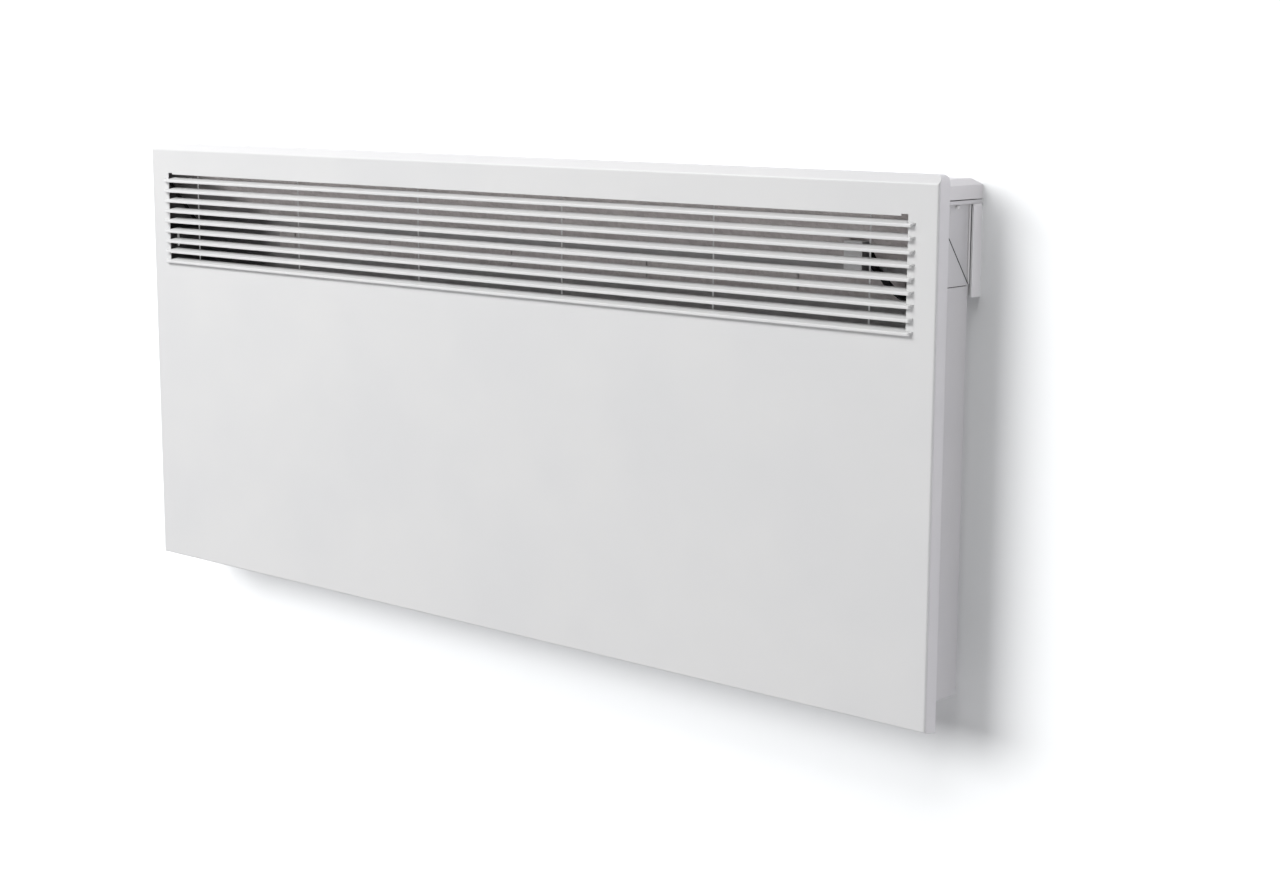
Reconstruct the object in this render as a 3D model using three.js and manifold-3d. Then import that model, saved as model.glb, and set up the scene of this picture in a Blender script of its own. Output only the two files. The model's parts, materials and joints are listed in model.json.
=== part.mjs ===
// A wall-hung panel convector heater, built from its separate pieces.
//
// Lengths are millimetres. The layout is drawn from the front: x runs to the right, y from the
// panel's face back to the wall, and z up from the panel's lowest edge. The last lines shift the
// whole group, so that its origin is the middle of the wall bracket's rear face.
import * as THREE from "three";
import { mergeVertices } from "three/addons/utils/BufferGeometryUtils.js";
import Module from "manifold-3d";

const wasm = await Module();
wasm.setup();

// ---------------------------------------------------------------- driving dimensions
const SEAT = 0.3; // left between faces that rest on each other
const RUNNING_GAP = 0.4; // left round a piece that moves
const GRID = 0.001; // outlines snap to this, so that faces meant to be level are level

// Front panel: one sheet folded into a shallow pan
const PANEL_WIDTH = 1003;
const PANEL_HEIGHT = 450;
const PANEL_DEPTH = 15;
const PANEL_SHEET = 0.8;
const FACE_BOTTOM = 3; // the bottom fold drops this much from the face to its back edge
const TOP_BEVEL = 7;
const BEVEL_BLEND = 3;
const TOP_CORNER_RADIUS = 6.5;
const SIDE_EDGE_RADIUS = 2;
const BOTTOM_EDGE_RADIUS = 1.6;

// Air outlet in the face, and the blades across it
const OPENING_SIDE_MARGIN = 28.3; // from the panel's side to the opening
const OPENING_TOP_MARGIN = 33; // from the panel's top
const NOTCH_WIDTH = 6.5; // relief cut at the opening's top corners
const NOTCH_HEIGHT = 1.5;
const BLADE_COUNT = 9;
const BLADE_PITCH = 10.7;
const FIRST_BLADE_DROP = 8.4; // from the opening's top to the first blade's lower edge
const BLADE_NOSE = 3.2; // how far a blade stands out of the face
const BLADE_REACH = 6.6; // how far it runs back behind the face
const BLADE_RISE = 5.5; // from its lower edge to its back edge
const BLADE_SHEET = 1.2;
const LIP_HEIGHT = 2.6;
const BLADE_SILL = 1.2; // the last blade's lower edge lies this much below the opening
const TIP_OVERLAP = 7; // how far a blade's tip runs over the face beside the opening
const TIP_CHAMFER = 2.9;
const BLADE_TAPER = 4.5;
const ROD_DIAMETER = 1.4;
const ROD_SHARES = [0.199, 0.572, 0.914]; // tie rods' places, as shares of half the opening
const ROD_OVERRUN = 3.5; // how far a rod runs past the opening's top and bottom

// Lower rear casing: an open-topped tray behind the panel
const SHEET = 0.8;
const CASING_INSET = 7; // from the panel's side to the casing's side
const CASING_BACK = 54.5;
const CASING_BOTTOM = 23;
const CASING_TOP_DROP = 90; // from the panel's top to the casing's top
const CASING_RIM = 9; // rim left round the air inlet in its floor
const CASING_RETURN = 10; // front flange that the panel is fixed to
const GRILLE_TAB_WIDTH = 3.5;
const GRILLE_TAB_DROP = 21; // from the casing's top to the tab's foot
const GRILLE_TAB_HEIGHT = 16;
const GRILLE_TAB_PLACE = 22; // y of the tab's front face

// Air inlet strip on the casing's floor
const INLET_SLOT_LENGTH = 64;
const INLET_SLOT_WIDTH = 8;
const INLET_BAR = 6;
const INLET_MARGIN = 7;

// Side gussets and upper casing
const JOINT_GAP = 0.6; // the thin dark lines between the side plates
const UPPER_BACK = 58.6;
const UPPER_OVERLAP = 8; // how far it hangs below the lower casing's top
const UPPER_INSET = 8.5;
const DIAGONAL_SLOPE = 1.294; // rise of the diagonal joint for each millimetre forward

// Sloped sheet that turns the warm air forward, and the baffle below it
const DEFLECTOR_RISE = 16.5; // from the lower casing's top to the deflector's foot
const DEFLECTOR_SHEET = 0.8;
const DEFLECTOR_FLANGE = 12;
const BAFFLE_LEFT_ROOM = 142.5; // from its ends to the casing's sides
const BAFFLE_RIGHT_ROOM = 56.5;
const BAFFLE_RISE = 2; // above the lower casing's top
const BAFFLE_HEIGHT = 19;
const BAFFLE_STANDOFF = 2.5;
const BAFFLE_END_SLOT = 24.5; // from its left end
const BAFFLE_SLOT_PITCH = 170;
const BAFFLE_SLOT_WIDTH = 1.4;
const BAFFLE_SLOT_MARGIN = 2; // the sheet left above and below a slot

// Open-sided guard that brings the leads out from behind the deflector
const GUARD_INSET = 98; // from the casing's side to the guard's far side
const GUARD_WIDTH = 18;
const GUARD_FRONT = 21.5;
const GUARD_RISE = 4; // above the lower casing's top
const GUARD_HEIGHT = 29;
const GUARD_WALL = 1;
const LEAD_NOTCH_WIDTH = 14;
const LEAD_NOTCH_DEPTH = 11;

// Tray under the top cap, and the cap
const CAP_INSET = 5;
const CAP_BACK = 69.7;
const TRAY_DROP = 21.6; // from the panel's top
const TRAY_FLANGE = 3.1;
const CAP_GAP = 0.8;
const CAP_WALL = 2;
const CAP_HEIGHT = 16.1;
const CAP_BEVEL_HEIGHT = 5.1;
const CAP_SIDE_BEVEL = 6;
const CAP_REAR_BEVEL = 7.5;

// Wall bracket
const WALL_PLACE = 70; // y of the wall
const BRACKET_SHEET = 1.5;
const BRACKET_DROP = 26.5; // from the panel's top
const BRACKET_HEIGHT = 72.8;
const CHEEK_DEPTH = 12.6;
const HOOK_INSET = 141.5; // from the bracket's end to a hook
const HOOK_WIDTH = 24;
const HOOK_DROP = 38.5; // from the bracket's top to the underside of a hook's arm
const HOOK_LIP = 11; // how far a hook's lip rises above the arm's underside
const LIFT = 12; // how far the heater lifts to clear its hooks
const SCREW_END_INSET = 81.5;
const SCREW_INNER = 60;
const SCREW_SLOT_WIDTH = 6.4;
const SCREW_SLOT_LENGTH = 16;
const SCREW_SLOT_INSET = 14; // from the bracket's top edge
const CABLE_NOTCH_WIDTH = 34;
const CABLE_NOTCH_HEIGHT = 42;

// Heating element and what carries it
const ELEMENT_END_ROOM = 68.5; // from the fins' end to the casing's side
const ELEMENT_HEIGHT = 128; // z of its axis
const ELEMENT_PLACE = 26; // y of its axis
const ELEMENT_HUB_RADIUS = 7;
const ELEMENT_ARM_LENGTH = 27;
const ELEMENT_ARM_ANGLE = 58; // degrees above and below the horizontal
const ELEMENT_FIN = 1.8;
const ELEMENT_FIN_LENGTHS = [7, 9, 11];
const CORE_RADIUS = 4;
const CORE_OVERRUN = 26; // how far the core stands out of each end
const BUSH_RADIUS = 9;
const BUSH_LENGTH = 12;
const BRACKET_PLATE = 1.5;
const ELEMENT_BRACKET_HALF_HEIGHT = 30;
const ELEMENT_BRACKET_RISE = 58; // from the axis to the top of the right bracket's arm
const ELEMENT_BRACKET_FRONT = 10;
const ELEMENT_BRACKET_FOOT = 12;
const SHIELD_STANDOFF = 5;
const SHIELD_BOTTOM = 66;
const SHIELD_TOP = 232;
const CUTOUT_RADIUS = 8;
const CUTOUT_LENGTH = 7;
const CUTOUT_DROP = 12; // from the bracket's top to the cut-out's axis
const SENSOR_INSET = 42.5; // from the casing's right side
const SENSOR_HEIGHT = 48;
const SENSOR_RADIUS = 2.5;
const SENSOR_LENGTH = 18;

// Controls in the cap
const CONTROL_INSET = 24.5; // from the cap's right end
const CONTROL_WIDTH = 134;
const CONTROL_FRONT = 24;
const CONTROL_DEPTH = 34;
const FASCIA_SHEET = 2.2;
const FASCIA_RECESS = 0.2;
const HOUSING_WALL = 1.5;
const HOUSING_MARGIN = 2;
const LENS_WIDTH = 46;
const LENS_DEPTH = 22;
const LENS_MARGIN = 8;
const LENS_SHEET = 1.6;
const BUTTON_RADIUS = 5;
const BUTTON_FLANGE = 1;
const BUTTON_SPACING_X = 17;
const BUTTON_SPACING_Y = 15;
const BUTTON_INSET = 67; // from the opening's left edge to the first column
const BUTTON_PROUD = 0.8;
const BUTTON_TRAVEL = 1;
const BOARD_SHEET = 1.6;
const BOARD_RISE = 5; // from the housing's floor to the display board
const SWITCH_INSET = 20; // from the opening's right edge to the switch's middle
const SWITCH_LENGTH = 19;
const SWITCH_DEPTH = 11;
const SWITCH_BEZEL = 2.4;
const SWITCH_BODY_DEPTH = 11.5;
const ROCKER_TILT = 9; // degrees either side of level
const ROCKER_PIVOT_DROP = 3.4;
const POWER_BOARD_GAP = 38; // from its right edge to the controls
const RELAY_SPAN = [20, 49]; // from the board's left edge
const SINK_SPAN = [62, 100];
const RADIO_SPAN = [112, 140];
const TERMINAL_SPAN = [6, 32]; // from the board's right edge
const BOARD_PART_MARGIN = 9; // from the board's front and back edges
const POWER_BOARD_WIDTH = 150;
const POWER_BOARD_FRONT = 22;
const POWER_BOARD_DEPTH = 36;
const BOARD_PILLAR = 3;

// Small outer pieces
const GLAND_INSET = 38; // from the upper casing's right side
const GLAND_DROP = 45.5; // from the bracket's top
const GLAND_RADIUS = 7;
const GLAND_BORE = 3.6;
const GLAND_LENGTH = 8.4;
const SPACER_INSET = 94.5; // from the casing's side
const SPACER_HEIGHT = 62;
const SPACER_RADIUS = 11;
const SIDE_SCREW_PLACE = 38;
const SIDE_SCREW_RADIUS = 1.7;
const SIDE_SCREW_LENGTH = 2;

// Internal leads
const LEAD_RADIUS = 1.8;
const LEAD_SPACING = 5;
const LEAD_RUN_INSET = 14; // from the casing's right side to the leads beside it

// ---------------------------------------------------------------- heights and places that follow
const OPENING_TOP = PANEL_HEIGHT - OPENING_TOP_MARGIN;
const LAST_BLADE = OPENING_TOP - FIRST_BLADE_DROP - (BLADE_COUNT - 1) * BLADE_PITCH;
const OPENING_BOTTOM = LAST_BLADE + BLADE_SILL;
const HALF_OPENING = PANEL_WIDTH / 2 - OPENING_SIDE_MARGIN;
const CASING_TOP = PANEL_HEIGHT - CASING_TOP_DROP;
const UPPER_BOTTOM = CASING_TOP - UPPER_OVERLAP;
const DEFLECTOR_FOOT = CASING_TOP + DEFLECTOR_RISE;
const BAFFLE_TOP = CASING_TOP + BAFFLE_RISE;
const BAFFLE_BOTTOM = BAFFLE_TOP - BAFFLE_HEIGHT;
const GRILLE_TAB_BOTTOM = CASING_TOP - GRILLE_TAB_DROP;
const GUARD_BOTTOM = CASING_TOP + GUARD_RISE;
const GUARD_TOP = GUARD_BOTTOM + GUARD_HEIGHT;
const TRAY_TOP = PANEL_HEIGHT - TRAY_DROP;
const BRACKET_TOP = PANEL_HEIGHT - BRACKET_DROP;
const BRACKET_BOTTOM = BRACKET_TOP - BRACKET_HEIGHT;
const HOOK_HEIGHT = BRACKET_TOP - HOOK_DROP;
const HALF_CASING = PANEL_WIDTH / 2 - CASING_INSET;
const HALF_UPPER = PANEL_WIDTH / 2 - UPPER_INSET;
const HALF_CAP = PANEL_WIDTH / 2 - CAP_INSET;
const ELEMENT_HALF_LENGTH = HALF_CASING - ELEMENT_END_ROOM;
const BAFFLE_LEFT = BAFFLE_LEFT_ROOM - HALF_CASING;
const BAFFLE_RIGHT = HALF_CASING - BAFFLE_RIGHT_ROOM;
const SENSOR_PLACE = HALF_CASING - SENSOR_INSET;
const GUARD_LEFT = HALF_CASING - GUARD_INSET;
const SPACER_PLACE = HALF_CASING - SPACER_INSET;
const GLAND_PLACE = HALF_UPPER - GLAND_INSET;
const GLAND_HEIGHT = BRACKET_TOP - GLAND_DROP;
const HOOK_PLACE = HALF_CAP - HOOK_INSET;
const HOOK_PLACES = [-HOOK_PLACE, HOOK_PLACE];
const SCREW_OUTER = HALF_CAP - SCREW_END_INSET;
const SCREW_PLACES = [-SCREW_OUTER, -SCREW_INNER, SCREW_INNER, SCREW_OUTER];
const CONTROL_RIGHT = HALF_CAP - CONTROL_INSET;
const CONTROL_LEFT = CONTROL_RIGHT - CONTROL_WIDTH;
const BUTTON_PLACE = CONTROL_LEFT + BUTTON_INSET;
const SWITCH_PLACE = CONTROL_RIGHT - SWITCH_INSET;
const POWER_BOARD_LEFT = CONTROL_LEFT - POWER_BOARD_GAP - POWER_BOARD_WIDTH;
const CASING_FRONT = PANEL_SHEET + SEAT;
const TRAY_UNDERSIDE = TRAY_TOP - SHEET;
const CAP_BOTTOM = TRAY_TOP + CAP_GAP;
const CAP_TOP = CAP_BOTTOM + CAP_HEIGHT;
const CAP_FRONT = PANEL_DEPTH + SEAT;
const DIAGONAL_FOOT = CASING_TOP + 2 * JOINT_GAP;
const INNER_BACK = CASING_BACK - SHEET; // inside of the lower casing's rear wall
const UPPER_INNER_BACK = UPPER_BACK - SHEET;
const BRACKET_FRONT = WALL_PLACE - BRACKET_SHEET;
const BRACKET_MIDDLE = (BRACKET_BOTTOM + BRACKET_TOP) / 2;
const BUSH_PLACE = ELEMENT_HALF_LENGTH + SEAT;
const FASCIA_TOP = CAP_TOP - FASCIA_RECESS;
const HOUSING_TOP = FASCIA_TOP - FASCIA_SHEET - SEAT;
const HOUSING_FLOOR = TRAY_TOP + SEAT;
const BOARD_BOTTOM = HOUSING_FLOOR + HOUSING_WALL + BOARD_RISE;
const CONTROL_MIDDLE = CONTROL_FRONT + CONTROL_DEPTH / 2;

// ---------------------------------------------------------------- finishes
const finish = (color, roughness, metalness = 0) =>
  new THREE.MeshStandardMaterial({ color, roughness, metalness });
const WHITE_STEEL = finish(0xe6e6e6, 0.5);
const WHITE_PLASTIC = finish(0xe2e2e2, 0.55);
const BARE_STEEL = finish(0x8f8886, 0.45, 0.8);
const ALUMINIUM = finish(0xb9babc, 0.4, 0.9);
const STAINLESS = finish(0x9a9a98, 0.3, 0.9);
const CERAMIC = finish(0xd9d2c4, 0.7);
const BLACK_PLASTIC = finish(0x1c1c1e, 0.5);
const DARK_LENS = finish(0x0d0e10, 0.15);
const BOARD_GREEN = finish(0x1f5a3c, 0.6);
const BLACK_SLEEVE = finish(0x161616, 0.6);

// ---------------------------------------------------------------- solids
function solid(geometry) {
  const bare = geometry.index ? geometry.toNonIndexed() : geometry.clone();
  bare.deleteAttribute("normal");
  bare.deleteAttribute("uv");
  const merged = mergeVertices(bare, GRID / 10);
  const snap = (value) => Math.round(value / GRID) * GRID;
  const shape = { numProp: 3, vertProperties: merged.attributes.position.array.map(snap) };
  return new wasm.Manifold(new wasm.Mesh({ ...shape, triVerts: new Uint32Array(merged.index.array) }));
}

const joined = (first, ...others) => others.reduce((whole, piece) => whole.add(piece), first);
const cut = (base, ...tools) => tools.reduce((rest, tool) => rest.subtract(tool), base);
const common = (first, ...others) => others.reduce((rest, piece) => rest.intersect(piece), first);

function block(x0, x1, y0, y1, z0, z1) {
  const box = new THREE.BoxGeometry(x1 - x0, y1 - y0, z1 - z0);
  return solid(box.translate((x0 + x1) / 2, (y0 + y1) / 2, (z0 + z1) / 2));
}

// An outline from points [u, v] or [u, v, radius], with the corners that have a radius rounded.
function outline(points, steps = 5) {
  return points.flatMap(([u, v, radius = 0], i) => {
    const corner = new THREE.Vector2(u, v);
    if (radius <= 0) return [corner];
    const back = new THREE.Vector2(...points.at(i - 1).slice(0, 2)).sub(corner);
    const on = new THREE.Vector2(...points[(i + 1) % points.length].slice(0, 2)).sub(corner);
    const room = 0.48 * Math.min(back.length(), on.length());
    back.normalize();
    on.normalize();
    const half = Math.acos(back.dot(on)) / 2;
    const reach = Math.min(radius / Math.tan(half), room);
    const centre = back.clone().add(on).setLength(reach / Math.cos(half)).add(corner);
    const start = back.multiplyScalar(reach).add(corner).sub(centre);
    const end = on.multiplyScalar(reach).add(corner).sub(centre);
    const turn = Math.atan2(start.cross(end), start.dot(end));
    const arc = [];
    for (let step = 0; step <= steps; step++)
      arc.push(start.clone().rotateAround(new THREE.Vector2(), (turn * step) / steps).add(centre));
    return arc;
  });
}

function circle(u, v, radius, sides = 24) {
  const points = [];
  for (let side = 0; side < sides; side++) {
    const angle = (2 * Math.PI * (side + 0.5)) / sides;
    points.push(new THREE.Vector2(u + radius * Math.cos(angle), v + radius * Math.sin(angle)));
  }
  return points;
}

// Extrudes an outline along an axis. Along x the outline is in (y, z), along y in (x, z), along z
// in (x, y).
function prism(axis, points, from, to) {
  const geometry = new THREE.ExtrudeGeometry(new THREE.Shape(points), {
    depth: to - from,
    bevelEnabled: false,
  });
  geometry.translate(0, 0, axis === "y" ? -to : from);
  if (axis === "y") geometry.rotateX(Math.PI / 2);
  if (axis === "x") {
    const [right, back, up] = [0, 1, 2].map((i) => new THREE.Vector3().setComponent(i, 1));
    geometry.applyMatrix4(new THREE.Matrix4().makeBasis(back, up, right));
  }
  return solid(geometry);
}

const rod = (axis, u, v, radius, from, to, sides = 24) =>
  prism(axis, circle(u, v, radius, sides), from, to);

// The same span on the left or the right of the middle.
const span = (side, near, far) => (side > 0 ? [near, far] : [-far, -near]);

const heater = new THREE.Group();

function add(name, body, material) {
  const made = body.getMesh();
  const geometry = new THREE.BufferGeometry();
  geometry.setAttribute("position", new THREE.BufferAttribute(made.vertProperties, 3));
  geometry.setIndex(new THREE.BufferAttribute(made.triVerts, 1));
  const mesh = new THREE.Mesh(geometry, material);
  mesh.name = name;
  heater.add(mesh);
}

const SIDES = [
  ["left", -1],
  ["right", 1],
];

// ---------------------------------------------------------------- front panel
// The pan's outside, or with an inset its inside: a side view, a front view and a top view, crossed.
function panForm(inset, back) {
  const half = PANEL_WIDTH / 2 - inset;
  const top = PANEL_HEIGHT - inset;
  const bevel = TOP_BEVEL - inset * (2 - Math.SQRT2);
  const floor = (y) => FACE_BOTTOM * (1 - y / PANEL_DEPTH) + inset;
  const sideView = [
    [inset, floor(inset), BOTTOM_EDGE_RADIUS - inset],
    [inset, top - bevel, BEVEL_BLEND],
    [inset + bevel, top, BEVEL_BLEND],
    [back, top],
    [back, floor(back)],
  ];
  const frontView = [
    [-half, -1],
    [half, -1],
    [half, top, TOP_CORNER_RADIUS - inset],
    [-half, top, TOP_CORNER_RADIUS - inset],
  ];
  const topView = [
    [-half, inset, SIDE_EDGE_RADIUS - inset],
    [half, inset, SIDE_EDGE_RADIUS - inset],
    [half, back],
    [-half, back],
  ];
  return common(
    prism("x", outline(sideView), -half, half),
    prism("y", outline(frontView), inset, back),
    prism("z", outline(topView, 4), -1, top),
  );
}

function frontPanel() {
  const through = [-1, PANEL_SHEET + 1];
  const opening = block(-HALF_OPENING, HALF_OPENING, ...through, OPENING_BOTTOM, OPENING_TOP);
  const notches = SIDES.map(([, side]) => {
    const width = span(side, HALF_OPENING - NOTCH_WIDTH, HALF_OPENING);
    return block(...width, ...through, OPENING_TOP - 1, OPENING_TOP + NOTCH_HEIGHT);
  });
  add(
    "front_panel",
    cut(panForm(0, PANEL_DEPTH), panForm(PANEL_SHEET, PANEL_DEPTH + 1), opening, ...notches),
    WHITE_STEEL,
  );
}

// ---------------------------------------------------------------- outlet grille
// A blade: a lip in front of the face, and a plate that rises from it through the opening.
function blade(z) {
  const tip = HALF_OPENING + TIP_OVERLAP;
  const inner = HALF_OPENING - RUNNING_GAP;
  const lipBack = BLADE_SHEET - BLADE_NOSE;
  const section = [
    [-BLADE_NOSE, z, 0.5],
    [lipBack, z, 0.5],
    [lipBack, z + LIP_HEIGHT - BLADE_SHEET * 0.8, 0.6],
    [BLADE_REACH, z + BLADE_RISE - BLADE_SHEET],
    [BLADE_REACH, z + BLADE_RISE, 0.4],
    [-BLADE_NOSE, z + LIP_HEIGHT, 1],
  ];
  const rightHalf = [
    [tip - TIP_CHAMFER, -BLADE_NOSE],
    [tip, -SEAT],
    [inner, -SEAT],
    [inner, PANEL_SHEET + SEAT],
    [inner - BLADE_TAPER, BLADE_REACH],
  ];
  const leftHalf = rightHalf.map(([x, y]) => [-x, y]).reverse();
  return common(
    prism("x", outline(section, 3), -tip, tip),
    prism("z", outline([...rightHalf, ...leftHalf]), z - 1, z + BLADE_RISE + 1),
  );
}

function outletGrille() {
  for (let number = 0; number < BLADE_COUNT; number++) {
    const z = OPENING_TOP - FIRST_BLADE_DROP - number * BLADE_PITCH;
    add(`grille_blade_${number + 1}`, blade(z), WHITE_STEEL);
  }
  const rightHalf = ROD_SHARES.map((share) => share * HALF_OPENING);
  const places = [...rightHalf.map((x) => -x).reverse(), ...rightHalf];
  const y = BLADE_REACH + SEAT + ROD_DIAMETER / 2;
  places.forEach((x, i) => {
    const height = [OPENING_BOTTOM - ROD_OVERRUN, OPENING_TOP + ROD_OVERRUN];
    const wire = rod("z", x, y, ROD_DIAMETER / 2, ...height, 10);
    add(`grille_tie_rod_${i + 1}`, wire, WHITE_STEEL);
  });
}

// ---------------------------------------------------------------- casings
function rearCasing() {
  const outer = block(-HALF_CASING, HALF_CASING, CASING_FRONT, CASING_BACK, CASING_BOTTOM, CASING_TOP);
  const inside = HALF_CASING - SHEET;
  const floor = CASING_BOTTOM + SHEET;
  const hollow = block(-inside, inside, CASING_FRONT + SHEET, INNER_BACK, floor, CASING_TOP + 1);
  const mouthHalf = HALF_CASING - CASING_RETURN;
  const mouthBottom = CASING_BOTTOM + CASING_RETURN;
  const mouthDepth = [CASING_FRONT - 1, CASING_FRONT + SHEET + 1];
  const mouth = block(-mouthHalf, mouthHalf, ...mouthDepth, mouthBottom, CASING_TOP + 1);
  const inletHalf = HALF_CASING - CASING_RIM;
  const inletSpan = [CASING_FRONT + CASING_RIM, CASING_BACK - CASING_RIM];
  const inlet = block(-inletHalf, inletHalf, ...inletSpan, CASING_BOTTOM - 1, floor + 1);
  const tabs = SIDES.map(([, side]) => {
    const width = span(side, inside - GRILLE_TAB_WIDTH, inside + SHEET / 2);
    const height = [GRILLE_TAB_BOTTOM, GRILLE_TAB_BOTTOM + GRILLE_TAB_HEIGHT];
    return block(...width, GRILLE_TAB_PLACE, GRILLE_TAB_PLACE + SHEET, ...height);
  });
  add("rear_casing", joined(cut(outer, hollow, mouth, inlet), ...tabs), WHITE_STEEL);
}

function inletGrille() {
  const half = HALF_CASING - SHEET - SEAT;
  const front = CASING_FRONT + SHEET + SEAT;
  const back = INNER_BACK - SEAT;
  const bottom = CASING_BOTTOM + SHEET + SEAT;
  const pitchX = INLET_SLOT_LENGTH + INLET_BAR;
  const pitchY = INLET_SLOT_WIDTH + INLET_BAR;
  const columns = Math.floor((2 * (half - INLET_MARGIN) + INLET_BAR) / pitchX);
  const rows = Math.floor((back - front - 2 * INLET_MARGIN + INLET_BAR) / pitchY);
  const left = -(columns * pitchX - INLET_BAR) / 2;
  const near = (front + back - rows * pitchY + INLET_BAR) / 2;
  const slots = [];
  for (let column = 0; column < columns; column++)
    for (let row = 0; row < rows; row++) {
      const x = left + column * pitchX;
      const y = near + row * pitchY;
      slots.push(block(x, x + INLET_SLOT_LENGTH, y, y + INLET_SLOT_WIDTH, bottom - 1, bottom + SHEET + 1));
    }
  add("inlet_grille", cut(block(-half, half, front, back, bottom, bottom + SHEET), ...slots), WHITE_STEEL);
}

// The diagonal side joint: its height at depth y, its depth at height z, and where it ends.
const diagonalHeight = (y) => DIAGONAL_FOOT + (CASING_BACK - y) * DIAGONAL_SLOPE;
const diagonalDepth = (z) => CASING_BACK - (z - DIAGONAL_FOOT) / DIAGONAL_SLOPE;
const DIAGONAL_END = diagonalDepth(TRAY_UNDERSIDE - SEAT);

function sideGussets() {
  const low = CASING_TOP + JOINT_GAP;
  const shape = [
    [CASING_FRONT, low],
    [CASING_BACK, low],
    [CASING_BACK, DIAGONAL_FOOT],
    [DIAGONAL_END, TRAY_UNDERSIDE - SEAT],
    [CASING_FRONT, TRAY_UNDERSIDE - SEAT],
  ];
  SIDES.forEach(([name, side]) => {
    const plate = prism("x", outline(shape), ...span(side, HALF_CASING - CASING_RETURN, HALF_CASING));
    const inner = span(side, HALF_CASING - CASING_RETURN - 1, HALF_CASING - SHEET);
    const hollow = block(...inner, CASING_FRONT + SHEET, CASING_BACK + 1, low - 1, TRAY_TOP);
    add(`side_gusset_${name}`, cut(plate, hollow), WHITE_STEEL);
  });
}

function upperCasing() {
  const top = TRAY_UNDERSIDE - SEAT;
  const foot = CASING_BACK + JOINT_GAP;
  const side = [
    [foot, UPPER_BOTTOM],
    [UPPER_BACK, UPPER_BOTTOM],
    [UPPER_BACK, top],
    [DIAGONAL_END + JOINT_GAP, top],
    [foot, diagonalHeight(foot) + JOINT_GAP],
  ];
  const outer = prism("x", outline(side), -HALF_UPPER, HALF_UPPER);
  const inside = HALF_UPPER - SHEET;
  const hollow = block(-inside, inside, -1, UPPER_INNER_BACK, UPPER_BOTTOM - 1, top + 1);
  const through = [UPPER_INNER_BACK - 1, UPPER_BACK + 1];
  const hookSlots = HOOK_PLACES.map((x) => {
    const half = HOOK_WIDTH / 2 + 4 * RUNNING_GAP;
    const low = HOOK_HEIGHT - LIFT - 2 * RUNNING_GAP;
    return block(x - half, x + half, ...through, low, HOOK_HEIGHT + BRACKET_SHEET + SEAT);
  });
  const glandHole = rod("y", GLAND_PLACE, GLAND_HEIGHT, GLAND_RADIUS - 2 + SEAT, ...through);
  add("upper_casing", cut(outer, hollow, ...hookSlots, glandHole), WHITE_STEEL);
}

const leadNotchX = [
  GUARD_LEFT + (GUARD_WIDTH - LEAD_NOTCH_WIDTH) / 2,
  GUARD_LEFT + (GUARD_WIDTH + LEAD_NOTCH_WIDTH) / 2,
];
const leadNotchY = [UPPER_INNER_BACK - SEAT - LEAD_NOTCH_DEPTH, UPPER_INNER_BACK - SEAT];

function airDeflector() {
  const top = TRAY_UNDERSIDE - SEAT;
  const under = top - DEFLECTOR_SHEET;
  const across = DEFLECTOR_SHEET * Math.hypot(1, 1 / DIAGONAL_SLOPE); // the sheet's thickness along y
  const front = DIAGONAL_END + SEAT;
  const section = [
    [diagonalDepth(DEFLECTOR_FOOT) + SEAT, DEFLECTOR_FOOT],
    [diagonalDepth(DEFLECTOR_FOOT) + SEAT + across, DEFLECTOR_FOOT],
    [diagonalDepth(under) + SEAT + across, under],
    [front + DEFLECTOR_FLANGE, under],
    [front + DEFLECTOR_FLANGE, top],
    [front, top],
  ];
  const half = HALF_UPPER - SHEET - SEAT;
  const notch = [GUARD_LEFT - SEAT, GUARD_LEFT + GUARD_WIDTH + SEAT];
  const guardNotch = block(...notch, -1, UPPER_BACK, DEFLECTOR_FOOT - 1, GUARD_TOP + SEAT);
  add("air_deflector", cut(prism("x", outline(section), -half, half), guardNotch), BARE_STEEL);
}

// A channel on the casing's rear wall, with a few narrow slots across its face.
function outletBaffle() {
  const back = INNER_BACK - SEAT;
  const face = back - BAFFLE_STANDOFF - SHEET;
  const section = [
    [back, BAFFLE_BOTTOM],
    [face, BAFFLE_BOTTOM],
    [face, BAFFLE_TOP],
    [face + SHEET, BAFFLE_TOP],
    [face + SHEET, BAFFLE_BOTTOM + SHEET],
    [back, BAFFLE_BOTTOM + SHEET],
  ];
  const places = [BAFFLE_LEFT + BAFFLE_END_SLOT];
  for (let x = BAFFLE_LEFT + BAFFLE_SLOT_PITCH; x < BAFFLE_RIGHT - SHEET; x += BAFFLE_SLOT_PITCH) {
    places.push(x);
  }
  const height = [BAFFLE_BOTTOM + BAFFLE_SLOT_MARGIN, BAFFLE_TOP - BAFFLE_SLOT_MARGIN];
  const slots = places.map((x) =>
    block(x, x + BAFFLE_SLOT_WIDTH, face - 1, face + SHEET + 0.5, ...height),
  );
  const channel = prism("x", outline(section), BAFFLE_LEFT, BAFFLE_RIGHT);
  add("outlet_baffle", cut(channel, ...slots), BARE_STEEL);
}

function leadGuard() {
  const right = GUARD_LEFT + GUARD_WIDTH;
  const back = UPPER_INNER_BACK - SEAT;
  const box = block(GUARD_LEFT, right, GUARD_FRONT, back, GUARD_BOTTOM, GUARD_TOP);
  const inner = [GUARD_LEFT + GUARD_WALL, right + 1, GUARD_FRONT + GUARD_WALL, back - GUARD_WALL];
  const hollow = block(...inner, GUARD_BOTTOM + GUARD_WALL, GUARD_TOP - GUARD_WALL);
  const entryHeight = [GUARD_TOP - GUARD_WALL - 1, GUARD_TOP + 1];
  const entry = block(...leadNotchX, leadNotchY[0], back - GUARD_WALL, ...entryHeight);
  add("lead_guard", cut(box, hollow, entry), WHITE_STEEL);
}

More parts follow.
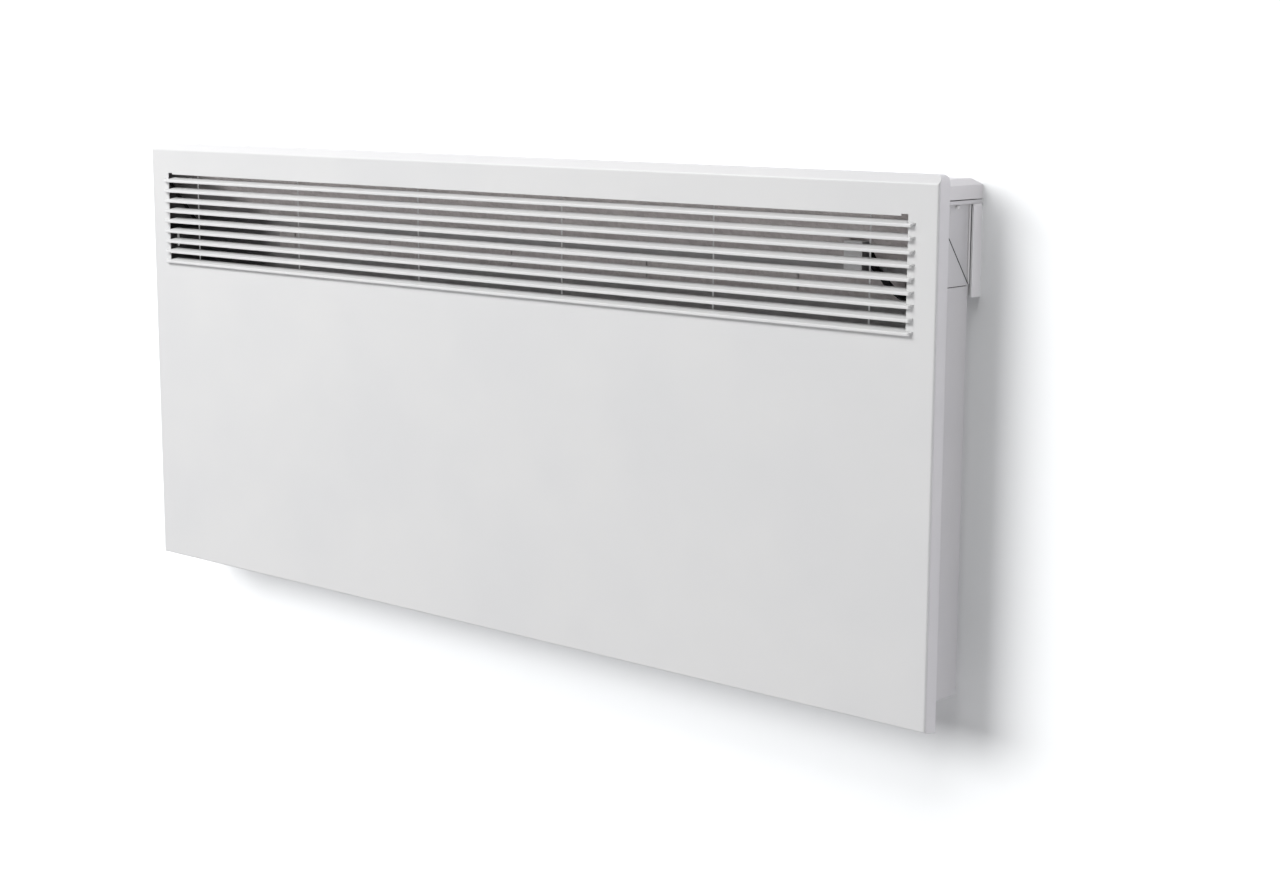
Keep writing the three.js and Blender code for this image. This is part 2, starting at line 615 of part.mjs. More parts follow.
function topTray() {
  const front = CASING_FRONT + SEAT;
  const flangeBottom = TRAY_TOP - TRAY_FLANGE;
  const outer = block(-HALF_CAP, HALF_CAP, front, CAP_BACK, flangeBottom, TRAY_TOP);
  const inside = HALF_CAP - SHEET;
  const hollow = block(-inside, inside, front - 1, CAP_BACK - SHEET, flangeBottom - 1, TRAY_UNDERSIDE);
  const leadHole = block(...leadNotchX, ...leadNotchY, TRAY_UNDERSIDE - 1, TRAY_TOP + 1);
  add("top_tray", cut(outer, hollow, leadHole), WHITE_STEEL);
}

// The cap's outside, or with an inset its inside: a side view crossed with a front view.
function capForm(inset, bottom) {
  const top = CAP_TOP - inset;
  const shoulder = CAP_TOP - CAP_BEVEL_HEIGHT - inset;
  const half = HALF_CAP - inset;
  const back = CAP_BACK - inset;
  const front = CAP_FRONT + inset;
  const sideView = [
    [front, bottom],
    [back, bottom],
    [back, shoulder, 1],
    [back - CAP_REAR_BEVEL, top, 1.5],
    [front, top],
  ];
  const frontView = [
    [-half, bottom],
    [half, bottom],
    [half, shoulder, 1],
    [half - CAP_SIDE_BEVEL, top, 1.5],
    [CAP_SIDE_BEVEL - half, top, 1.5],
    [-half, shoulder, 1],
  ];
  return common(
    prism("x", outline(sideView, 3), -half, half),
    prism("y", outline(frontView, 3), front, back),
  );
}

function topCap() {
  const x = [CONTROL_LEFT, CONTROL_RIGHT];
  const y = [CONTROL_FRONT, CONTROL_FRONT + CONTROL_DEPTH];
  const opening = block(...x, ...y, CAP_TOP - CAP_WALL - 1, CAP_TOP + 1);
  add("top_cap", cut(capForm(0, CAP_BOTTOM), capForm(CAP_WALL, CAP_BOTTOM - 1), opening), WHITE_PLASTIC);
}

// ---------------------------------------------------------------- wall bracket
function obround(x, z, length, width) {
  const half = width / 2;
  const reach = length / 2;
  const points = [
    [x - reach, z - half, half],
    [x + reach, z - half, half],
    [x + reach, z + half, half],
    [x - reach, z + half, half],
  ];
  return prism("y", outline(points, 6), BRACKET_FRONT - 1, WALL_PLACE + 1);
}

function wallBracket() {
  const cheekInside = HALF_CAP - BRACKET_SHEET;
  const plateEnd = cheekInside - SEAT;
  const plate = block(-plateEnd, plateEnd, BRACKET_FRONT, WALL_PLACE, BRACKET_BOTTOM, BRACKET_TOP);
  const screwSlots = SCREW_PLACES.map((x) =>
    obround(x, BRACKET_TOP - SCREW_SLOT_INSET, SCREW_SLOT_LENGTH, SCREW_SLOT_WIDTH),
  );
  const through = [BRACKET_FRONT - 1, WALL_PLACE + 1];
  const notchWidth = [GLAND_PLACE - CABLE_NOTCH_WIDTH / 2, GLAND_PLACE + CABLE_NOTCH_WIDTH / 2];
  const notchTop = BRACKET_BOTTOM + CABLE_NOTCH_HEIGHT;
  const cableNotch = block(...notchWidth, ...through, BRACKET_BOTTOM - 1, notchTop);
  add("wall_bracket", cut(plate, ...screwSlots, cableNotch), WHITE_STEEL);
  SIDES.forEach(([name, side]) => {
    const cheekY = [WALL_PLACE - CHEEK_DEPTH, WALL_PLACE];
    const cheek = block(...span(side, cheekInside, HALF_CAP), ...cheekY, BRACKET_BOTTOM, BRACKET_TOP);
    add(`bracket_cheek_${name}`, cheek, WHITE_STEEL);
  });
}

function bracketHooks() {
  const footBack = BRACKET_FRONT - SEAT;
  const lipBack = UPPER_INNER_BACK - SEAT;
  const lipFront = lipBack - BRACKET_SHEET;
  const height = [HOOK_HEIGHT, HOOK_HEIGHT + HOOK_LIP];
  SIDES.forEach(([name, side]) => {
    const width = span(side, HOOK_PLACE - HOOK_WIDTH / 2, HOOK_PLACE + HOOK_WIDTH / 2);
    const whole = block(...width, lipFront, footBack, ...height);
    const inside = [lipBack, footBack - BRACKET_SHEET];
    const hollow = block(width[0] - 1, width[1] + 1, ...inside, height[0] + BRACKET_SHEET, height[1] + 1);
    add(`bracket_hook_${name}`, cut(whole, hollow), WHITE_STEEL);
  });
}

// ---------------------------------------------------------------- heating element
// One arm of the fin profile: a plate from the hub with short fins across it.
function finArm(quarter) {
  const angle = THREE.MathUtils.degToRad(ELEMENT_ARM_ANGLE);
  const [right, up] = [quarter % 2 ? 1 : -1, quarter > 1 ? 1 : -1];
  const along = new THREE.Vector2(right * Math.cos(angle), up * Math.sin(angle));
  const start = ELEMENT_HUB_RADIUS - 1;
  const spanArm = ELEMENT_ARM_LENGTH - start;
  const piece = (middle, direction, length) => {
    const half = direction.clone().multiplyScalar(length / 2);
    const thick = new THREE.Vector2(-direction.y, direction.x).multiplyScalar(ELEMENT_FIN / 2);
    const corners = [half.clone().add(thick), half.clone().sub(thick)];
    const points = [...corners, ...corners.map((corner) => corner.clone().negate())];
    const centre = new THREE.Vector2(ELEMENT_PLACE, ELEMENT_HEIGHT).add(middle);
    const profile = points.map((point) => point.add(centre));
    return prism("x", profile, -ELEMENT_HALF_LENGTH, ELEMENT_HALF_LENGTH);
  };
  const arm = piece(along.clone().multiplyScalar(start + spanArm / 2), along, spanArm);
  const level = new THREE.Vector2(right, 0);
  const fins = ELEMENT_FIN_LENGTHS.map((length, i) => {
    const place = start + (spanArm * (i + 1)) / ELEMENT_FIN_LENGTHS.length - ELEMENT_FIN / 2;
    return piece(along.clone().multiplyScalar(place).addScaledVector(level, -length / 2 + 1), level, length);
  });
  return joined(arm, ...fins);
}

function heatingElement() {
  const hubs = [-ELEMENT_HALF_LENGTH, ELEMENT_HALF_LENGTH];
  const hub = rod("x", ELEMENT_PLACE, ELEMENT_HEIGHT, ELEMENT_HUB_RADIUS, ...hubs, 20);
  const bore = rod("x", ELEMENT_PLACE, ELEMENT_HEIGHT, CORE_RADIUS + SEAT, hubs[0] - 1, hubs[1] + 1, 20);
  add("heating_element", cut(joined(hub, finArm(0), finArm(1), finArm(2), finArm(3)), bore), ALUMINIUM);
  const coreEnd = ELEMENT_HALF_LENGTH + CORE_OVERRUN;
  const core = rod("x", ELEMENT_PLACE, ELEMENT_HEIGHT, CORE_RADIUS, -coreEnd, coreEnd, 20);
  add("element_core", core, STAINLESS);
}

function elementSupports() {
  const plateStart = BUSH_PLACE + BUSH_LENGTH / 2;
  SIDES.forEach(([name, side]) => {
    const bushSpan = span(side, BUSH_PLACE, BUSH_PLACE + BUSH_LENGTH);
    const bush = rod("x", ELEMENT_PLACE, ELEMENT_HEIGHT, BUSH_RADIUS, ...bushSpan);
    const boreSpan = [bushSpan[0] - 1, bushSpan[1] + 1];
    const bore = rod("x", ELEMENT_PLACE, ELEMENT_HEIGHT, CORE_RADIUS + SEAT, ...boreSpan);
    add(`element_bush_${name}`, cut(bush, bore), CERAMIC);

    const rise = side > 0 ? ELEMENT_BRACKET_RISE : ELEMENT_BRACKET_HALF_HEIGHT;
    const height = [ELEMENT_HEIGHT - ELEMENT_BRACKET_HALF_HEIGHT, ELEMENT_HEIGHT + rise];
    const back = INNER_BACK - SEAT;
    const plateSpan = span(side, plateStart, plateStart + BRACKET_PLATE);
    const footSpan = span(side, plateStart, plateStart + ELEMENT_BRACKET_FOOT);
    const plate = block(...plateSpan, ELEMENT_BRACKET_FRONT, back, ...height);
    const foot = block(...footSpan, back - BRACKET_PLATE, back, ...height);
    const holeSpan = [plateSpan[0] - 1, plateSpan[1] + 1];
    const hole = rod("x", ELEMENT_PLACE, ELEMENT_HEIGHT, BUSH_RADIUS + SEAT, ...holeSpan);
    add(`element_bracket_${name}`, cut(joined(plate, foot), hole), BARE_STEEL);
  });

  const cutoutHeight = ELEMENT_HEIGHT + ELEMENT_BRACKET_RISE - CUTOUT_DROP;
  const cutoutEnd = plateStart - SEAT;
  const disc = rod("x", ELEMENT_PLACE, cutoutHeight, CUTOUT_RADIUS, cutoutEnd - CUTOUT_LENGTH, cutoutEnd);
  add("thermal_cutout", disc, BLACK_PLASTIC);
}

function heatShield() {
  const back = INNER_BACK - SEAT;
  const face = INNER_BACK - SHIELD_STANDOFF;
  const section = [
    [back, SHIELD_BOTTOM],
    [face, SHIELD_BOTTOM],
    [face, SHIELD_TOP],
    [back, SHIELD_TOP],
    [back, SHIELD_TOP - SHEET],
    [face + SHEET, SHIELD_TOP - SHEET],
    [face + SHEET, SHIELD_BOTTOM + SHEET],
    [back, SHIELD_BOTTOM + SHEET],
  ];
  add("heat_shield", prism("x", outline(section), -ELEMENT_HALF_LENGTH, ELEMENT_HALF_LENGTH), BARE_STEEL);
}

function roomSensor() {
  const back = INNER_BACK - SEAT;
  const podDepth = 2 * SENSOR_RADIUS + 2;
  const half = SENSOR_RADIUS + 2;
  const width = [SENSOR_PLACE - half, SENSOR_PLACE + half];
  const pod = block(...width, back - podDepth, back, SENSOR_HEIGHT, SENSOR_HEIGHT + SENSOR_LENGTH / 2);
  const bulbFoot = SENSOR_HEIGHT - SENSOR_LENGTH / 4;
  const bulbSpan = [bulbFoot, bulbFoot + SENSOR_LENGTH];
  const bulb = rod("z", SENSOR_PLACE, back - podDepth / 2, SENSOR_RADIUS, ...bulbSpan, 16);
  add("room_sensor", joined(pod, bulb), WHITE_PLASTIC);
}

// ---------------------------------------------------------------- controls
const buttonPlaces = [0, 1].flatMap((column) =>
  [-0.5, 0.5].map((row) => [
    BUTTON_PLACE + column * BUTTON_SPACING_X,
    CONTROL_MIDDLE + row * BUTTON_SPACING_Y,
  ]),
);

const lensPlace = [CONTROL_LEFT + LENS_MARGIN, CONTROL_LEFT + LENS_MARGIN + LENS_WIDTH];
const lensDepth = [CONTROL_MIDDLE - LENS_DEPTH / 2, CONTROL_MIDDLE + LENS_DEPTH / 2];
const switchHalf = SWITCH_LENGTH / 2 + RUNNING_GAP + SWITCH_BEZEL;
const switchHalfDepth = SWITCH_DEPTH / 2 + RUNNING_GAP + SWITCH_BEZEL;

function controlHousing() {
  const left = CONTROL_LEFT - HOUSING_MARGIN;
  const right = CONTROL_RIGHT + HOUSING_MARGIN;
  const front = CONTROL_FRONT - HOUSING_MARGIN;
  const back = CONTROL_FRONT + CONTROL_DEPTH + HOUSING_MARGIN;
  const outer = block(left, right, front, back, HOUSING_FLOOR, HOUSING_TOP);
  const floor = HOUSING_FLOOR + HOUSING_WALL;
  const inner = [left + HOUSING_WALL, right - HOUSING_WALL, front + HOUSING_WALL, back - HOUSING_WALL];
  const hollow = block(...inner, floor, HOUSING_TOP + 1);
  const leadHole = block(...leadNotchX, ...leadNotchY, HOUSING_FLOOR - 1, floor + 1);
  const ribs = [lensPlace[0], (lensPlace[0] + lensPlace[1]) / 2, lensPlace[1]].map((x) =>
    block(x - 1, x + 1, front + HOUSING_WALL / 2, back - HOUSING_WALL / 2, floor - 1, BOARD_BOTTOM - SEAT),
  );
  add("control_housing", cut(joined(cut(outer, hollow), ...ribs), leadHole), WHITE_PLASTIC);
}

function controlFascia() {
  const left = CONTROL_LEFT + SEAT;
  const right = CONTROL_RIGHT - SEAT;
  const depth = [CONTROL_FRONT + SEAT, CONTROL_FRONT + CONTROL_DEPTH - SEAT];
  const bottom = FASCIA_TOP - FASCIA_SHEET;
  const through = [bottom - 1, FASCIA_TOP + 1];
  const window = block(...lensPlace, ...lensDepth, ...through);
  const holes = buttonPlaces.map(([x, y]) => rod("z", x, y, BUTTON_RADIUS + RUNNING_GAP, ...through, 28));
  const switchX = [SWITCH_PLACE - switchHalf + 1, SWITCH_PLACE + switchHalf - 1];
  const switchY = [CONTROL_MIDDLE - switchHalfDepth + 1, CONTROL_MIDDLE + switchHalfDepth - 1];
  const switchHole = block(...switchX, ...switchY, ...through);
  const plate = block(left, right, ...depth, bottom, FASCIA_TOP);
  add("control_fascia", cut(plate, window, ...holes, switchHole), BLACK_PLASTIC);
}

function displayAndButtons() {
  const [lensLeft, lensRight] = lensPlace;
  const [lensFront, lensBack] = lensDepth;
  const lensTop = FASCIA_TOP;
  const lensX = [lensLeft + SEAT, lensRight - SEAT];
  const lensY = [lensFront + SEAT, lensBack - SEAT];
  add("display_lens", block(...lensX, ...lensY, lensTop - LENS_SHEET, lensTop), DARK_LENS);

  const boardTop = BOARD_BOTTOM + BOARD_SHEET;
  const boardRight = BUTTON_PLACE + BUTTON_SPACING_X + BUTTON_RADIUS + 1;
  const boardY = [CONTROL_FRONT + 1, CONTROL_FRONT + CONTROL_DEPTH - 1];
  const board = block(CONTROL_LEFT + 1, boardRight, ...boardY, BOARD_BOTTOM, boardTop);
  const buttonBottom = FASCIA_TOP - FASCIA_SHEET - SEAT - BUTTON_FLANGE;
  const tactTop = buttonBottom - BUTTON_TRAVEL - SEAT;
  const tacts = buttonPlaces.map(([x, y]) => block(x - 3, x + 3, y - 3, y + 3, boardTop - 0.5, tactTop));
  const digitsHeight = [boardTop - 0.5, lensTop - LENS_SHEET - SEAT];
  const digits = block(lensLeft + 4, lensRight - 4, lensFront + 3, lensBack - 3, ...digitsHeight);
  add("display_board", joined(board, digits, ...tacts), BOARD_GREEN);

  buttonPlaces.forEach(([x, y], i) => {
    const stem = rod("z", x, y, BUTTON_RADIUS, buttonBottom, FASCIA_TOP + BUTTON_PROUD, 28);
    const flangeHeight = [buttonBottom, buttonBottom + BUTTON_FLANGE];
    const flange = rod("z", x, y, BUTTON_RADIUS + BUTTON_FLANGE, ...flangeHeight, 28);
    add(`button_${i + 1}`, joined(stem, flange), WHITE_PLASTIC);
  });
}

// The main switch: a rocker that tilts about an axis along y, in a body with a flat bezel.
function mainSwitch() {
  const bezelTop = FASCIA_TOP + 1;
  const pivot = bezelTop - ROCKER_PIVOT_DROP;
  const radius = SWITCH_LENGTH / 2;
  const bezelX = [SWITCH_PLACE - switchHalf, SWITCH_PLACE + switchHalf];
  const bezelY = [CONTROL_MIDDLE - switchHalfDepth, CONTROL_MIDDLE + switchHalfDepth];
  const bezel = block(...bezelX, ...bezelY, FASCIA_TOP + SEAT, bezelTop);
  const neckX = [bezelX[0] + 1 + SEAT, bezelX[1] - 1 - SEAT];
  const neckY = [bezelY[0] + 1 + SEAT, bezelY[1] - 1 - SEAT];
  const neck = block(...neckX, ...neckY, bezelTop - SWITCH_BODY_DEPTH, bezelTop - 0.5);
  const wellX = [bezelX[0] + SWITCH_BEZEL, bezelX[1] - SWITCH_BEZEL];
  const wellY = [bezelY[0] + SWITCH_BEZEL, bezelY[1] - SWITCH_BEZEL];
  const wellFloor = bezelTop - SWITCH_BODY_DEPTH + 1.5;
  const well = block(...wellX, ...wellY, wellFloor, bezelTop + 1);
  add("switch_body", cut(joined(bezel, neck), well), BLACK_PLASTIC);

  const endRise = 3.6;
  const middleRise = 2.4;
  const wedge = [
    [-radius - 1, -3],
    [radius + 1, -3],
    [radius + 1, endRise],
    [0, middleRise],
    [-radius - 1, endRise],
  ];
  const tilt = THREE.MathUtils.degToRad(ROCKER_TILT);
  const turned = wedge.map(([u, v]) => new THREE.Vector2(u, v).rotateAround(new THREE.Vector2(), tilt));
  const place = turned.map((point) => point.add(new THREE.Vector2(SWITCH_PLACE, pivot)));
  const depth = [CONTROL_MIDDLE - SWITCH_DEPTH / 2, CONTROL_MIDDLE + SWITCH_DEPTH / 2];
  const rocker = common(prism("y", place, ...depth), rod("y", SWITCH_PLACE, pivot, radius, ...depth, 40));
  add("rocker", rocker, BLACK_PLASTIC);
}

function powerElectronics() {
  const bottom = TRAY_TOP + BOARD_PILLAR;
  const top = bottom + BOARD_SHEET;
  const right = POWER_BOARD_LEFT + POWER_BOARD_WIDTH;
  const back = POWER_BOARD_FRONT + POWER_BOARD_DEPTH;
  const board = block(POWER_BOARD_LEFT, right, POWER_BOARD_FRONT, back, bottom, top);
  const pillars = [POWER_BOARD_LEFT + 6, right - 6].flatMap((x) =>
    [POWER_BOARD_FRONT + 6, back - 6].map((y) => rod("z", x, y, 3, TRAY_TOP + SEAT, bottom + 0.5, 12)),
  );
  const seat = top + SEAT;
  const ceiling = CAP_TOP - CAP_WALL - SEAT;
  const [relayX, sinkX, moduleX] = [RELAY_SPAN, SINK_SPAN, RADIO_SPAN].map((ends) =>
    ends.map((end) => POWER_BOARD_LEFT + end),
  );
  const partY = [POWER_BOARD_FRONT + BOARD_PART_MARGIN, back - BOARD_PART_MARGIN];
  const relay = block(...relayX, ...partY, bottom + 0.5, ceiling);
  const sink = block(...sinkX, ...partY, bottom + 0.5, ceiling);
  const grooves = [];
  for (let x = sinkX[0] + 3; x < sinkX[1] - 3; x += 5)
    grooves.push(block(x, x + 2.5, partY[0] - 1, partY[1] + 1, seat + 2.5, ceiling + 1));
  add("power_board", joined(board, ...pillars, relay, cut(sink, ...grooves)), BOARD_GREEN);

  const card = block(...moduleX, ...partY, seat, seat + BOARD_SHEET);
  const canHeight = [seat + 1, seat + BOARD_SHEET + 2.4];
  const can = block(moduleX[0] + 3, moduleX[1] - 9, partY[0] + 3, partY[1] - 3, ...canHeight);
  add("radio_module", joined(card, can), BOARD_GREEN);

  const blockX = TERMINAL_SPAN.map((end) => right + end);
  const terminal = block(...blockX, ...partY, TRAY_TOP + SEAT, ceiling - 2);
  const wells = [0, 1, 2].map((i) =>
    rod("z", blockX[0] + 5 + i * 8, (partY[0] + partY[1]) / 2, 2.4, TRAY_TOP + 6, ceiling, 16),
  );
  add("terminal_block", cut(terminal, ...wells), WHITE_PLASTIC);
}

// ---------------------------------------------------------------- small outer pieces
function cableGland() {
  const collarDepth = [UPPER_BACK + SEAT, UPPER_BACK + GLAND_LENGTH];
  const collar = rod("y", GLAND_PLACE, GLAND_HEIGHT, GLAND_RADIUS, ...collarDepth);
  const neck = rod("y", GLAND_PLACE, GLAND_HEIGHT, GLAND_RADIUS - 2, UPPER_INNER_BACK - 4, UPPER_BACK + 1);
  const bore = rod("y", GLAND_PLACE, GLAND_HEIGHT, GLAND_BORE, UPPER_INNER_BACK - 5, WALL_PLACE, 20);
  add("cable_gland", cut(joined(collar, neck), bore), BLACK_PLASTIC);
}

function wallSpacers() {
  SIDES.forEach(([name, side]) => {
    const x = side * SPACER_PLACE;
    const from = CASING_BACK + SEAT;
    const foot = rod("y", x, SPACER_HEIGHT, SPACER_RADIUS, from, from + 2.5);
    const post = rod("y", x, SPACER_HEIGHT, SPACER_RADIUS - 3, from + 1, WALL_PLACE);
    add(`wall_spacer_${name}`, joined(foot, post), WHITE_PLASTIC);
  });
}

function sideScrews() {
  const height = TRAY_TOP - TRAY_FLANGE - SEAT - SIDE_SCREW_RADIUS;
  SIDES.forEach(([name, side]) => {
    const from = HALF_UPPER + SEAT;
    const width = span(side, from, from + SIDE_SCREW_LENGTH);
    const screw = rod("x", SIDE_SCREW_PLACE, height, SIDE_SCREW_RADIUS, ...width, 16);
    add(`side_screw_${name}`, screw, STAINLESS);
  });
}

// Leads from the cap, out through the guard's open side, and down to the end of the element's core.
function leads() {
  const x = GUARD_LEFT + GUARD_WIDTH / 2;
  const y = (leadNotchY[0] + leadNotchY[1] - GUARD_WALL) / 2;
  const end = ELEMENT_HALF_LENGTH + CORE_OVERRUN + SEAT;
  const run = HALF_CASING - SHEET - LEAD_RUN_INSET;
  const route = [
    [x, y, TRAY_TOP + 6],
    [x, y, TRAY_TOP - 14],
    [x + 0.5, y, GUARD_TOP + 3],
    [x + 1, y - 0.4, GUARD_TOP - 4],
    [x + 3, y - 4.5, GUARD_BOTTOM + 16],
    [x + 5.5, y - 8, GUARD_BOTTOM + 9.5],
    [x + 8.5, y - 10, GUARD_BOTTOM + 6],
    [x + 14.5, y - 10.5, GUARD_BOTTOM + 2],
    [x + 21.5, y - 11, GUARD_BOTTOM - 6],
    [x + 34.5, y - 11.5, GUARD_BOTTOM - 15],
    [run - 14, y - 12.5, GUARD_BOTTOM - 26],
    [run, y - 16, GUARD_BOTTOM - 50],
    [run, y - 18, (GUARD_BOTTOM + ELEMENT_HEIGHT) / 2],
    [run, ELEMENT_PLACE + 1, ELEMENT_HEIGHT + 40],
    [run - 3, ELEMENT_PLACE, ELEMENT_HEIGHT + 14],
    [end + 12, ELEMENT_PLACE, ELEMENT_HEIGHT + 1],
    [end, ELEMENT_PLACE, ELEMENT_HEIGHT],
  ];
  const section = new THREE.Shape(circle(0, 0, LEAD_RADIUS, 8));
  [
    ["lead_live", -1],
    ["lead_neutral", 1],
  ].forEach(([name, hand]) => {
    const shift = (hand * LEAD_SPACING) / 2;
    const points = route.map(([x, depth, z]) => new THREE.Vector3(x, depth + shift, z));
    const path = new THREE.CatmullRomCurve3(points, false, "centripetal");
    const options = { steps: 80, extrudePath: path, bevelEnabled: false };
    add(name, solid(new THREE.ExtrudeGeometry(section, options)), BLACK_SLEEVE);
  });
}

frontPanel();
outletGrille();
rearCasing();
inletGrille();
sideGussets();
upperCasing();
airDeflector();
outletBaffle();
leadGuard();
topTray();
topCap();
wallBracket();
bracketHooks();
heatingElement();
elementSupports();
heatShield();
roomSensor();
controlHousing();
controlFascia();
displayAndButtons();
mainSwitch();
powerElectronics();
cableGland();
wallSpacers();
sideScrews();
leads();

heater.position.set(0, -WALL_PLACE, -BRACKET_MIDDLE);
const part = new THREE.Group();
part.add(heater);
export default part;
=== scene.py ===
# %% [markdown]
# # A wall panel convector heater
# The heater's sheets, blades and boards come from the imported model. This lesson gives them light,
# a camera and finishes, and adds the small pieces that make the object look made rather than drawn.
# Lengths are in metres, and the wall is the plane y = 0. The outlines of the small pieces are typed in
# millimetres, back from the panel's face and up from its foot, as they were measured.

# %% [markdown]
# ## The frame
# The imported model is loaded first: its pieces arrive in place, with each one's transform applied to
# its mesh.

# %% Load the frame
import json
import math

import bmesh
import bpy
from mathutils import Matrix, Vector


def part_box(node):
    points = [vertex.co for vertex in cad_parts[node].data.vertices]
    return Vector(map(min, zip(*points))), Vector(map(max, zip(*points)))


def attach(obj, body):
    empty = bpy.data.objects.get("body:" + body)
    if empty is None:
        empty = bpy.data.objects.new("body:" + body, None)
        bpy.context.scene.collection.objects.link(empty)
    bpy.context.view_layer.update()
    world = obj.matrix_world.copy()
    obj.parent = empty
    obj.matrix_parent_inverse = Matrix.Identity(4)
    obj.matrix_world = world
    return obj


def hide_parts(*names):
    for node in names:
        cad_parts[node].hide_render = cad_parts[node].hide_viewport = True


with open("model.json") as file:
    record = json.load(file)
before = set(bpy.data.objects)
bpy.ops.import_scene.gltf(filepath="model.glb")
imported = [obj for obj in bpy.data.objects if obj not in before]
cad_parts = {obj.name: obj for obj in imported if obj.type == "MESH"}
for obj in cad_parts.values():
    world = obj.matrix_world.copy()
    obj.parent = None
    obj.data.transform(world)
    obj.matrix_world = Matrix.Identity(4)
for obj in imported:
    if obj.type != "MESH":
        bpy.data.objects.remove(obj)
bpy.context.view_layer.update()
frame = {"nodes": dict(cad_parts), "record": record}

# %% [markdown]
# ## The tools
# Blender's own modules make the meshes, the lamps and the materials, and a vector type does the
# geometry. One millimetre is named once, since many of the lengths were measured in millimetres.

MM = 0.001
nodes = frame["nodes"]

# %% [markdown]
# ## The camera
# A camera far off with a long lens keeps the heater's edges nearly parallel, as in the picture.
# Its place is kept as numbers found once by fitting the corners of the panel, so that the picture's
# edges and the model's edges fall together. Turning by angles would do as well, but a matrix built
# from three directions has no order of turns to get wrong.

# %% Camera
CAMERA_PLACE = Vector((1.4379, -1.4897, 0.1430))
CAMERA_AROUND = math.radians(41.19)
CAMERA_ABOVE = math.radians(9.60)
CAMERA_ROLL = math.radians(0.236)
CAMERA_LENS = 61.12
CAMERA_FILM = 36
CAMERA_REACH = 50
UP = Vector((0, 0, 1))

back = Vector((math.sin(CAMERA_AROUND) * math.cos(CAMERA_ABOVE),
               -math.cos(CAMERA_AROUND) * math.cos(CAMERA_ABOVE),
               math.sin(CAMERA_ABOVE)))
level_right = (-back).cross(UP).normalized()
level_up = level_right.cross(-back)
turned_right = math.cos(CAMERA_ROLL) * level_right + math.sin(CAMERA_ROLL) * level_up
turned_up = math.cos(CAMERA_ROLL) * level_up - math.sin(CAMERA_ROLL) * level_right

lens = bpy.data.cameras.new("photo_lens")
lens.lens = CAMERA_LENS
lens.sensor_width = CAMERA_FILM
lens.clip_end = CAMERA_REACH
camera = bpy.data.objects.new("photo_camera", lens)
bpy.context.scene.collection.objects.link(camera)
axes = Matrix((turned_right, turned_up, back)).transposed()
camera.matrix_world = Matrix.Translation(CAMERA_PLACE) @ axes.to_4x4()
bpy.context.scene.camera = camera
bpy.context.scene.view_settings.view_transform = "Standard"
print("camera", [round(v, 3) for v in camera.location])

# %% [markdown]
# ## Writing a finish as a formula
# A node tree is a formula drawn as boxes. Writing it as Python keeps it readable: a socket that
# knows how to add and multiply turns `0.4 + 0.1 * speckle` into the two Math nodes that do it.
# Colours go through Mix nodes, since a Math node would turn them grey.

# %% Sockets that add and multiply
class Socket:
    """One output of a node. Arithmetic on it adds Math nodes."""

    def __init__(self, finish, output):
        self.finish = finish
        self.output = output

    def math(self, operation, left, right):
        return self.finish.node("ShaderNodeMath", {"operation": operation}, {0: left, 1: right})

    def __add__(self, other):
        return self.math("ADD", self, other)

    def __radd__(self, other):
        return self.math("ADD", other, self)

    def __sub__(self, other):
        return self.math("SUBTRACT", self, other)

    def __rsub__(self, other):
        return self.math("SUBTRACT", other, self)

    def __mul__(self, other):
        return self.math("MULTIPLY", self, other)

    def __rmul__(self, other):
        return self.math("MULTIPLY", other, self)


